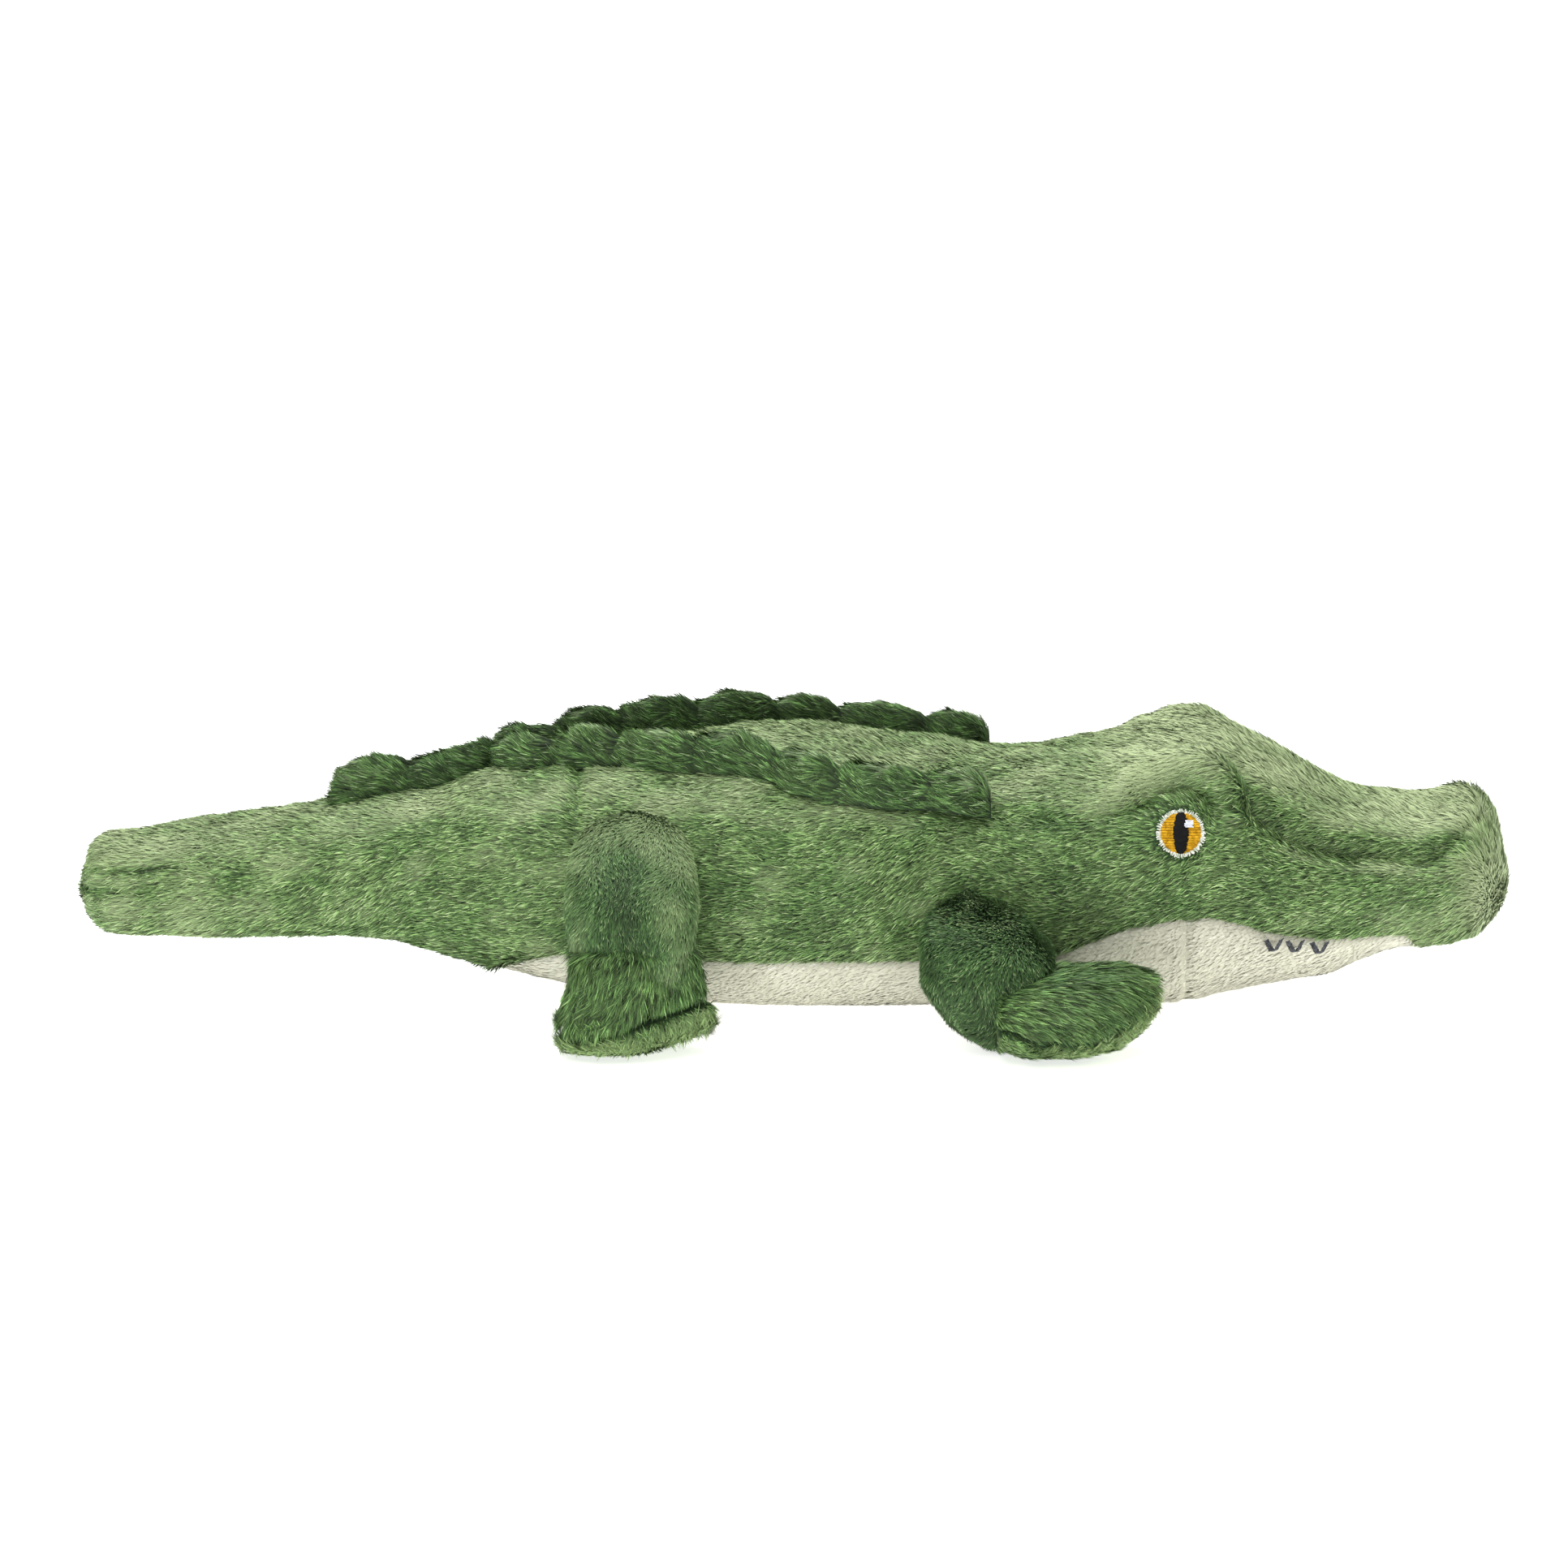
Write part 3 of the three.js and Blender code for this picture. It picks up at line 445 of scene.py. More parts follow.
# Materials
def srgb(text):
    """A colour written as six hex digits, in linear light."""
    values = [int(text[i:i + 2], 16) / 255 for i in (0, 2, 4)]
    return [v / 12.92 if v <= 0.04045 else ((v + 0.055) / 1.055) ** 2.4 for v in values] + [1.0]


class Shader:
    """Builds a node material in few words."""

    def __init__(self, name):
        self.material = bpy.data.materials.new(name)
        self.material.use_nodes = True
        self.tree = self.material.node_tree
        self.surface = self.tree.nodes["Principled BSDF"]

    def node(self, kind, *inputs, out=0, **settings):
        made = self.tree.nodes.new(kind)
        for key, value in settings.items():
            setattr(made, key, value)
        for number, value in enumerate(inputs):
            if value is not None:
                self.feed(made.inputs[number], value)
        return made.outputs[out]

    def feed(self, socket, value):
        if isinstance(value, bpy.types.NodeSocket):
            self.tree.links.new(value, socket)
        else:
            socket.default_value = value

    def attribute(self, name):
        return self.node("ShaderNodeAttribute", attribute_name=name, out="Fac")

    def math(self, kind, *values):
        return self.node("ShaderNodeMath", *values, operation=kind)

    def ramp(self, value, low, high):
        """The value stretched so that low gives 0 and high gives 1."""
        return self.node("ShaderNodeMapRange", value, low, high, 0.0, 1.0)

    def mix(self, share, a, b, kind="MIX"):
        made = self.tree.nodes.new("ShaderNodeMix")
        made.data_type = "RGBA"
        made.blend_type = kind
        for name, value in (("Factor_Float", share), ("A_Color", a), ("B_Color", b)):
            socket = next(s for s in made.inputs if s.identifier == name)
            self.feed(socket, value)
        return next(s for s in made.outputs if s.identifier == "Result_Color")

    def noise(self, scale, detail=2.0, roughness=0.5):
        place = self.node("ShaderNodeTexCoord", out="Object")
        return self.node("ShaderNodeTexNoise", place, None, scale, detail, roughness)

    def set(self, **values):
        for name, value in values.items():
            self.feed(self.surface.inputs[name.replace("_", " ").title().replace("Ior", "IOR")], value)


def plush(name, root, tip, pale, patch, glints, contrast, locks):
    """Fur: darker at its roots, painted shade between the strands, lighter at its tips, with glints of
    light painted as pale tips on some strands, and soft patches.

    glints is the share of strands with a painted glint, contrast how many times brighter the palest
    strand is than the darkest, and locks the share of that contrast that whole locks have in common.
    """
    root, tip, pale, patch = (srgb(text) for text in (root, tip, pale, patch))
    shader = Shader(name)
    along = shader.attribute("tip")
    shade = shader.attribute("shade")
    lock = shader.attribute("lock")
    tint = shader.attribute("tint")
    patches = shader.ramp(shader.noise(75.0, detail=3.0, roughness=0.55), 0.36, 0.66)
    body = shader.mix(patches, tip, patch)
    # tint above 0 is painted shade and below 0 painted light, besides the fabric's random tone
    dark = shader.math("MAXIMUM", tint, 0.0)
    light = shader.math("MAXIMUM", shader.math("MULTIPLY", tint, -1.0), 0.0)
    # The strands darken towards their roots, painted shade between them, and painted light pales the roots
    # too
    colour = shader.mix(shader.math("MAXIMUM", shader.math("POWER", along, 0.8), light), root, body)
    own = shader.math("MULTIPLY", shade, 1 - locks)
    tone = shader.math("ADD", own, shader.math("MULTIPLY", lock, locks))
    calm = shader.math("SUBTRACT", 1.0, light)
    away = shader.math("MULTIPLY", shader.math("SUBTRACT", tone, 0.5), calm)
    spread = shader.math("POWER", contrast, away)
    bright = shader.node("ShaderNodeCombineColor", spread, spread, spread)
    colour = shader.mix(1.0, colour, bright, "MULTIPLY")
    # Painted glints: a share of the strands turns pale towards its tip
    chosen = shader.math("GREATER_THAN", shade, 1 - glints)
    glint = shader.math("MULTIPLY", chosen, shader.ramp(along, 0.5, 0.95))
    colour = shader.mix(glint, colour, pale)
    # Painted shade darkens the pile and painted light pales it
    colour = shader.mix(dark, colour, shader.mix(0.5, root, [0, 0, 0, 1]))
    colour = shader.mix(light, colour, pale)
    lit = shader.node("ShaderNodeAttribute", attribute_name="skin_normal", out="Vector")
    lit = shader.node("ShaderNodeVectorTransform", lit, vector_type="NORMAL", convert_from="OBJECT",
                      convert_to="WORLD")
    shader.set(base_color=colour, roughness=0.62, specular_ior_level=0.3, sheen_weight=0.3,
               sheen_roughness=0.45, sheen_tint=tip, normal=lit)
    return shader.material


def backing(name, colour, depth=0.55):
    """Knitted backing of the plush, which shows only between the strands."""
    colour = srgb(colour)
    shader = Shader(name)
    weave = shader.noise(1400.0, detail=1.0)
    low = [c * depth for c in colour[:3]] + [1]
    shader.set(base_color=shader.mix(weave, low, colour), roughness=0.95)
    return shader.material


def thread_finish(name, colour, dark, roughness, specular):
    """Shiny embroidery thread with a fine twist and some strands darker."""
    shader = Shader(name)
    strands = shader.noise(900.0, roughness=0.6)
    tone = shader.mix(shader.ramp(strands, 0.35, 0.65), srgb(dark), srgb(colour))
    shader.set(base_color=tone, roughness=roughness, specular_ior_level=specular)
    return shader.material


# Colours of each fur: root, darkened as painted shade between the strands, tip, pale for painted glints
# and painted light, and patches
body_fur = plush("body_fur", "24371a", "83a463", "cfdcab", "698f4e", glints=0.12, contrast=14.0, locks=0.3)
leg_fur = plush("leg_fur", "1c2d15", "5a7f47", "bccf96", "4f743e", glints=0.08, contrast=7.0, locks=0.3)
foot_fur = plush("foot_fur", "16280f", "6a8d4e", "b4cf8a", "597e45", glints=0.04, contrast=30.0,
                 locks=0.45)
fin_fur = plush("fin_fur", "12220d", "64874a", "c8dcac", "54793f", glints=0.06, contrast=48.0, locks=0.5)
white_fur = plush("white_fur", "c5c3ad", "d2d1bf", "e9e9df", "cdccba", glints=0.05, contrast=1.3,
                  locks=0.5)
green_backing = backing("green_backing", "39582f")
white_backing = backing("white_backing", "d8d7c4", 0.97)
leg_backing = backing("leg_backing", "2c4a27")
fin_backing = backing("fin_backing", "223f24")
ring_thread = thread_finish("ring_thread", "e9eae2", "9fab95", roughness=0.6, specular=0.2)
amber_thread = thread_finish("amber_thread", "efba2e", "ae7f12", roughness=0.6, specular=0.08)
amber_pad = thread_finish("amber_pad", "5c400c", "3f2a08", roughness=0.9, specular=0.05)
black_thread = thread_finish("black_thread", "101012", "050506", roughness=0.6, specular=0.15)
glint_thread = thread_finish("glint_thread", "e6e9ee", "b9bec8", roughness=0.42, specular=0.5)
tooth_thread = thread_finish("tooth_thread", "5a5d63", "1d1f23", roughness=0.45, specular=0.3)


# The pile, grown by one node tree
class Tree:
    """Builds a geometry node tree in few words. Its first input and its output are the geometry."""

    def __init__(self, name, inputs):
        self.tree = bpy.data.node_groups.new(name, "GeometryNodeTree")
        self.tree.interface.new_socket("Geometry", in_out="OUTPUT", socket_type="NodeSocketGeometry")
        self.ids = {}
        for label, kind in [("Geometry", "Geometry")] + inputs:
            socket = self.tree.interface.new_socket(label, in_out="INPUT", socket_type=f"NodeSocket{kind}")
            self.ids[label] = socket.identifier
        given = self.tree.nodes.new("NodeGroupInput")
        self.put = {label: given.outputs[label] for label in self.ids}

    def finish(self, geometry):
        result = self.tree.nodes.new("NodeGroupOutput")
        self.tree.links.new(geometry, result.inputs["Geometry"])
        return self

    def node(self, kind, settings=None, out=0, **inputs):
        made = self.tree.nodes.new(kind)
        for key, value in (settings or {}).items():
            setattr(made, key, value)
        for name, value in inputs.items():
            self.feed(self.socket(made, name), value)
        return made.outputs[out] if out is not None else made

    @staticmethod
    def socket(made, name):
        words = name.replace("_", " ").lower()
        for socket in made.inputs:
            if socket.enabled and (socket.name.lower() == words
                                   or socket.identifier.lower() == name.lower()):
                return socket
        raise KeyError(f"{made.bl_idname} has no input {name}: {[s.name for s in made.inputs]}")

    def feed(self, socket, value):
        if isinstance(value, bpy.types.NodeSocket):
            self.tree.links.new(value, socket)
        else:
            socket.default_value = value

    def math(self, kind, a, b=0.0):
        made = self.tree.nodes.new("ShaderNodeMath")
        made.operation = kind
        self.feed(made.inputs[0], a)
        self.feed(made.inputs[1], b)
        return made.outputs[0]

    def vector(self, kind, a, b=None, scale=None):
        made = self.tree.nodes.new("ShaderNodeVectorMath")
        made.operation = kind
        self.feed(made.inputs[0], a)
        if b is not None:
            self.feed(made.inputs[1], b)
        if scale is not None:
            self.feed(made.inputs["Scale"], scale)
        return made.outputs["Value" if kind in ("DOT_PRODUCT", "LENGTH") else "Vector"]

    def named(self, name, kind="FLOAT"):
        return self.node("GeometryNodeInputNamedAttribute", {"data_type": kind}, Name=name)

    def random(self, low, high, seed, kind="FLOAT"):
        made = self.tree.nodes.new("FunctionNodeRandomValue")
        made.data_type = kind
        sockets = [s for s in made.inputs if s.enabled]
        self.feed(next(s for s in sockets if s.name == "Min"), low)
        self.feed(next(s for s in sockets if s.name == "Max"), high)
        self.feed(next(s for s in sockets if s.name == "Seed"), seed)
        return next(s for s in made.outputs if s.enabled)

    def store(self, geometry, name, value, kind="FLOAT", domain="POINT"):
        return self.node("GeometryNodeStoreNamedAttribute", {"data_type": kind, "domain": domain},
                         Geometry=geometry, Name=name, Value=value)


def blade(tree):
    """One strand: a strip that narrows to a point and droops, one unit long along Z."""
    strip = tree.node("GeometryNodeMeshGrid", Size_X=1.0, Size_Y=1.0, Vertices_X=2, Vertices_Y=3)
    place = tree.node("GeometryNodeInputPosition")
    parts = tree.node("ShaderNodeSeparateXYZ", out=None, Vector=place)
    along = tree.math("ADD", parts.outputs["Y"], 0.5)
    squared = tree.math("MULTIPLY", along, along)
    narrow = tree.math("MULTIPLY", parts.outputs["X"], tree.math("SUBTRACT", 1.0, squared))
    shaped = tree.node("ShaderNodeCombineXYZ", X=narrow, Y=squared, Z=along)
    strip = tree.store(strip, "tip", along)
    strip = tree.node("GeometryNodeSetPosition", Geometry=strip, Position=shaped)
    return tree.node("GeometryNodeMergeByDistance", Geometry=strip, Distance=0.001)


def fur_tree():
    sizes = ("Strands", "Length", "Width", "Lift", "Droop", "Spread", "Clump", "Tuft", "Stray", "Twist")
    tree = Tree("pile", [(size, "Float") for size in sizes]
                + [("Stretch", "Vector"), ("Seed", "Int"), ("Finish", "Material")])
    put = tree.put

    scatter = tree.node("GeometryNodeDistributePointsOnFaces", {"distribute_method": "RANDOM"}, out=None,
                        Mesh=put["Geometry"], Seed=put["Seed"],
                        Density=tree.math("MULTIPLY", put["Strands"], tree.named("growth")))
    points, normal = scatter.outputs["Points"], scatter.outputs["Normal"]
    points = tree.store(points, "skin_normal", normal, "FLOAT_VECTOR")
    points = tree.store(points, "shade", tree.random(0.0, 1.0, seed=11))
    normal = tree.named("skin_normal", "FLOAT_VECTOR")

    # Strands lean towards the middle of the tuft they stand in
    root = tree.node("GeometryNodeInputPosition")
    stretched = tree.vector("MULTIPLY", root, put["Stretch"])
    tuft = tree.node("ShaderNodeTexVoronoi", out=None, Vector=stretched,
                     Scale=tree.math("DIVIDE", 1.0, put["Tuft"]))
    tone = tree.node("ShaderNodeSeparateXYZ", Vector=tuft.outputs["Color"])
    # A tuft's tone: painted light on its crown, paler at its middle, and a random tone of its own
    painted_crown_light = tree.math("SUBTRACT", 1.15, tree.math("MULTIPLY", tuft.outputs["Distance"], 1.6))
    tone = tree.math("ADD", tree.math("MULTIPLY", tone, 0.35), tree.math("MULTIPLY", painted_crown_light, 0.65))
    points = tree.store(points, "lock", tone)
    inward = tree.vector("SUBTRACT", tree.vector("DIVIDE", tuft.outputs["Position"], put["Stretch"]), root)
    inward = tree.vector("SCALE", inward, scale=tree.math("DIVIDE", put["Clump"], put["Length"]))
    jitter = tree.random([-1.0] * 3, [1.0] * 3, seed=21, kind="FLOAT_VECTOR")
    lay = tree.vector("ADD", tree.named("comb", "FLOAT_VECTOR"),
                      tree.vector("SCALE", jitter, scale=put["Spread"]))
    lay = tree.vector("ADD", lay, inward)
    stray = tree.vector("SUBTRACT", tuft.outputs["Color"], [0.5] * 3)
    lay = tree.vector("ADD", lay, tree.vector("SCALE", stray, scale=put["Stray"]))
    rise = tree.vector("DOT_PRODUCT", lay, normal)
    flat = tree.vector("SUBTRACT", lay, tree.vector("SCALE", normal, scale=rise))
    flat = tree.vector("NORMALIZE", flat)
    lift = tree.math("MULTIPLY", put["Lift"], tree.random(0.75, 1.25, seed=31))
    aim = tree.vector("NORMALIZE", tree.vector("ADD", flat, tree.vector("SCALE", normal, scale=lift)))
    turned = tree.node("FunctionNodeAlignRotationToVector", {"axis": "Z"}, Vector=aim)
    turned = tree.node("FunctionNodeAlignRotationToVector", {"axis": "Y", "pivot_axis": "Z"},
                       Rotation=turned, Vector=tree.vector("SCALE", normal, scale=-1.0))
    twist = tree.math("MULTIPLY", put["Twist"], tree.random(-1.0, 1.0, seed=41))
    twist = tree.node("ShaderNodeCombineXYZ", X=0.0, Y=0.0, Z=twist)
    twist = tree.node("FunctionNodeEulerToRotation", Euler=twist)
    turned = tree.node("FunctionNodeRotateRotation", {"rotation_space": "LOCAL"}, Rotation=turned,
                       Rotate_By=twist)
    length = tree.math("MULTIPLY", tree.math("MULTIPLY", put["Length"], tree.named("pile")),
                       tree.random(0.7, 1.15, seed=51))
    width = tree.math("MULTIPLY", put["Width"], tree.random(0.7, 1.3, seed=61))
    droop = tree.math("MULTIPLY", put["Droop"], tree.random(0.4, 1.6, seed=71))
    size = tree.node("ShaderNodeCombineXYZ", X=width, Y=tree.math("MULTIPLY", length, droop), Z=length)
    grown = tree.node("GeometryNodeInstanceOnPoints", Points=points, Instance=blade(tree), Rotation=turned,
                      Scale=size)
    grown = tree.node("GeometryNodeRealizeInstances", Geometry=grown)
    # No strand goes through the floor
    above_floor = tree.vector("MAXIMUM", tree.node("GeometryNodeInputPosition"), [-9.0, -9.0, 0.2 * MM])
    grown = tree.node("GeometryNodeSetPosition", Geometry=grown, Position=above_floor)
    grown = tree.node("GeometryNodeSetMaterial", Geometry=grown, Material=put["Finish"])
    return tree.finish(grown)


pile_tree = fur_tree()
# Corners of one strand's blade, whose tip is a single point
blade_corners = 5


def grown_mesh(name, data, tree, **inputs):
    """The plain mesh that a node tree makes from a mesh."""
    carrier = placed(name, data)
    modifier = carrier.modifiers.new(name, "NODES")
    modifier.node_group = tree.tree
    for key, value in inputs.items():
        modifier[tree.ids[key]] = value
    graph = bpy.context.evaluated_depsgraph_get()
    mesh = bpy.data.meshes.new_from_object(carrier.evaluated_get(graph), depsgraph=graph)
    bpy.data.objects.remove(carrier)
    mesh.name = name
    return mesh


def grow(name, skin, finish, seed, strands=5.0, length=body_pile, width=0.42 * MM, lift=0.55, droop=0.25,
         spread=0.3, clump=0.25, tuft=0.9 * MM, stray=0.0, twist=0.7, stretch=(0.45, 1.0, 1.0),
         softness=0.6):
    """Pile on a skin, as one plain mesh. strands is the number for each square millimetre."""
    mesh = grown_mesh(name, skin.data, pile_tree, Strands=strands * 1e6, Length=length, Width=width,
                      Lift=lift, Droop=droop, Spread=spread, Clump=clump, Tuft=tuft, Stray=stray,
                      Twist=twist, Stretch=stretch, Seed=seed, Finish=finish)
    soften(mesh, softness)
    lay_out(mesh)
    return placed(name, mesh)


def read_floats(source, key, count):
    """One measure of a mesh's elements, as a flat array."""
    values = np.empty(count, np.float32)
    source.foreach_get(key, values)
    return values


def soften(mesh, softness):
    """Turns the strands' normals towards the fabric's, so that the pile shades as one soft surface."""
    mesh.shade_smooth()
    count = len(mesh.vertices) * 3
    own = read_floats(mesh.vertices, "normal", count).reshape(-1, 3)
    skin = read_floats(mesh.attributes["skin_normal"].data, "vector", count).reshape(-1, 3)
    mixed = unit(skin * softness + own * (1 - softness))
    mesh.normals_split_custom_set_from_vertices(mixed)
    mesh.attributes["skin_normal"].data.foreach_set("vector", mixed.astype(np.float32).ravel())
    for spare in ("comb", "pile", "growth"):
        if spare in mesh.attributes:
            mesh.attributes.remove(mesh.attributes[spare])


def paint_line_shading(mesh):
    """Paints shade (darker) or light (paler) on the strands that stand along a line, strand by strand."""
    count = len(mesh.vertices)
    places = read_floats(mesh.vertices, "co", count * 3).reshape(-1, blade_corners, 3)
    tip = read_floats(mesh.attributes["tip"].data, "value", count)
    tint = read_floats(mesh.attributes["tint"].data, "value", count)
    at_root = (tip.reshape(-1, blade_corners, 1) < 0.01).astype(float)
    roots = (places * at_root).sum(axis=1) / at_root.sum(axis=1)
    for pairs, width, change in painted_line_shading:
        near = near_line(roots, line_on_body(pairs, skin_depth), width * MM)
        tint += np.repeat(change * near, blade_corners)
    mesh.attributes["tint"].data.foreach_set("value", np.clip(tint, -0.6, 0.9).astype(np.float32))


def lay_out(mesh):
    """Gives each strand its own small cell of a square picture, root below and tip above."""
    side = math.ceil(math.sqrt(len(mesh.vertices) // blade_corners))
    corner = np.empty(len(mesh.loops), np.int32)
    mesh.loops.foreach_get("vertex_index", corner)
    tip = read_floats(mesh.attributes["tip"].data, "value", len(mesh.vertices))
    strand = corner // blade_corners
    u = (strand % side + 0.3 + 0.4 * (corner % 2)) / side
    v = (strand // side + 0.2 + 0.6 * tip[corner]) / side
    layer = mesh.uv_layers.new(name="OFBake")
    layer.data.foreach_set("uv", np.stack([u, v], axis=-1).astype(np.float32).ravel())


# Body panels
ring_step = 1.3 * MM
column_step = 1.5 * MM
fewest_columns = 6
seam_tuck = 0.9 * MM
seam_tuck_width = 1.0 * MM
# Extra places by the tail tip and the nose, where the outline turns sharply
end_places = np.array([0.0002, 0.0006, 0.0012, 0.002, 0.003, 0.0045])
# Painted light: how much paler the pile is painted where it faces up to the overhead light, and how much
# more so on the head
painted_top_light = 0.24
painted_head_light = 0.42


def from_twins(points, place):
    """Steps to the points from a place on the left side, or from its twin on the right."""
    return points - np.where(points[..., 1:2] > 0, place, place * np.array([1, -1, 1]))


def comb_body(points, normals):
    """The pile lies towards the tail, sinks a little down the flanks and whorls at the nose."""
    comb = np.zeros_like(points)
    comb[..., 0] = -1
    comb[..., 2] = -0.16
    swirl = ripple(points, 45 * MM, seed=5)
    fine = ripple(points, 7 * MM, seed=9)
    side = np.cross(normals, comb)
    comb = comb + side * (0.20 * swirl + 0.09 * fine)[..., None]
    out = from_twins(points, whorl_place)
    near = 0.3 * hill(np.linalg.norm(out, axis=-1), 10 * MM)[..., None]
    comb = comb * (1 - near) + unit(out) * near
    low = 1 - smooth(12 * MM, 22 * MM, points[..., 2])
    comb[..., 2] += smooth(172 * MM, 186 * MM, points[..., 0]) * (0.7 - 1.5 * low)
    away = from_twins(points, eye_place)
    round_eye = hill(np.linalg.norm(away, axis=-1) - 5 * MM, 7 * MM)[..., None]
    comb = comb + unit(away) * round_eye * 0.9
    return comb


def panel(start, end, low, high):
    """A panel of the body between two seams, each given as a function of the place."""
    rows = int((end - start) * body_length / ring_step) + 1
    at = np.linspace(start, end, rows)
    if start == 0:
        at = np.unique(np.concatenate([end_places, at]))
    if end == 1:
        at = np.unique(np.concatenate([at, 1 - end_places]))
    span = high(at) - low(at)
    _, rise, half = section(at)
    width = span * ((rise + half) * math.pi / 2)
    columns = max(int(width.max() / column_step), fewest_columns) + 1
    share = np.linspace(0, 1, columns)
    turn = low(at)[:, None] + span[:, None] * share
    place = np.repeat(at[:, None], columns, axis=1)
    points = body_point(place, turn)
    normals = body_normal(place, turn)
    to_edge = np.minimum(share, 1 - share)[None, :] * width[:, None]
    height = relief(place, turn, points) - skin_depth - seam_tuck * hill(to_edge, seam_tuck_width)
    skin = Skin(points + normals * height[..., None], normals)
    skin.comb = comb_body(points, normals)
    from_eye = np.linalg.norm(on_left(points) - eye_place, axis=-1)
    skin.growth = np.where(from_eye < eye_diameter / 2 + 0.3 * MM, 0.0, 1.0)
    skin.pile = 1 + 0.16 * ripple(points, 9 * MM, seed=12)
    skin.pile = skin.pile * np.clip((from_eye - 5.5 * MM) / (4 * MM), 0.35, 1)
    # Painted light: the pile is paler where it faces up, towards the overhead light, more so on the head
    # and less so on the snout
    on_head = smooth(0.70, 0.76, place)
    on_snout = hill(place - 0.89, 0.04)
    faces_up = smooth(0.45, 0.95, normals[..., 2])
    paler = painted_top_light + painted_head_light * on_head * (1 - 0.5 * on_snout)
    skin.tint = body_tone_and_shading(points) - paler * faces_up
    return skin


# Painted light (paler, below 0) and painted shade (darker, above 0) in spots on the body and head: X, Z
# and reach in millimetres, and the change
painted_light_and_shade_spots = [
    (176, 30, 24, -0.15), (-160, 22, 32, -0.10), (-180, 34, 20, -0.16), (82, 32, 17, 0.24),
    (118, 36, 18, 0.14), (60, 22, 14, 0.12), (54, 50, 15, 0.14), (186, 45, 9, -0.2), (150, 50, 12, 0.1),
    (187, 37, 6, -0.5), (168, 54, 9, 0.12), (188, 28, 7, -0.5),
]


# Painted shadows along the back seam, in the snout's crease and under the scalloped strip: first and last
# place, how far below it and reach in millimetres, and the change
painted_seam_shadows = [(0.81, 0.962, 0.0, 3.2, 0.4), (0.30, 0.635, 2.2, 2.0, 0.35)]


def body_tone_and_shading(points):
    """Where the pile is painted darker (above 0) or paler (below 0) than the fabric's own colour: random
    tone, painted shade in creases, sunken folds and along seams, painted light on raised folds, and
    painted light and shade in spots.
    """
    tint = 0.10 * ripple(points, 16 * MM, seed=31)
    # Painted shade in the flanks' creases
    for start, end, width, depth in flank_creases:
        tint += 0.22 * depth * side_crease(points, start, end, width * 1.3)
    # Painted light on raised folds of the head and painted shade in sunken ones
    for pairs, width, rise_of_fold in head_folds:
        tint -= 0.07 * rise_of_fold * near_line(points, line_on_body(pairs), width * 1.1 * MM)
    # Painted light and shade in spots
    for place, height, reach, change in painted_light_and_shade_spots:
        from_place = points[..., [0, 2]] - np.array([place, height]) * MM
        tint += change * hill(np.linalg.norm(from_place, axis=-1), reach * MM)
    # Painted shadows along the seams
    for start, end, drop, reach, change in painted_seam_shadows:
        band = body_line(start, end) - np.array([0, 0, drop * MM])
        tint += change * near_line(points, band, reach * MM)
    return np.clip(tint, -0.6, 0.7)


def dress(piece, bodies, nodes):
    """Attaches a piece to the one body it moves with, or leaves it fixed in place for a pair of bodies,
    and hides the model's parts that it stands for.
    """
    if isinstance(bodies, str):
        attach(piece, bodies)
    else:
        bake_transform(piece)
    if nodes:
        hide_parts(*nodes)


def clothe(name, piece, bodies, nodes, slot, fill, finish, line_shaded=False, **pile):
    """Grows the pile on a padded piece of fabric, and attaches both to the body they move with, or leaves
    both in place for a pair of bodies.
    """
    fur = grow(f"{name}_pile", piece, finish, **pile)
    if line_shaded:
        paint_line_shading(fur.data)
    dress(piece, bodies, nodes)
    dress(fur, bodies, ())


neck_x = place_x(0.70)
tail_x = place_x(0.2263)
neck_bend = ("torso", "head", (neck_x - 34 * MM, 0, 0.035), (neck_x + 24 * MM, 0, 0.035))
tail_bend = ("torso", "tail", (tail_x + 30 * MM, 0, 0.036), (tail_x - 24 * MM, 0, 0.036))


def across(seam):
    """The same seam on the toy's other side."""
    return lambda at: 2 - seam(at)


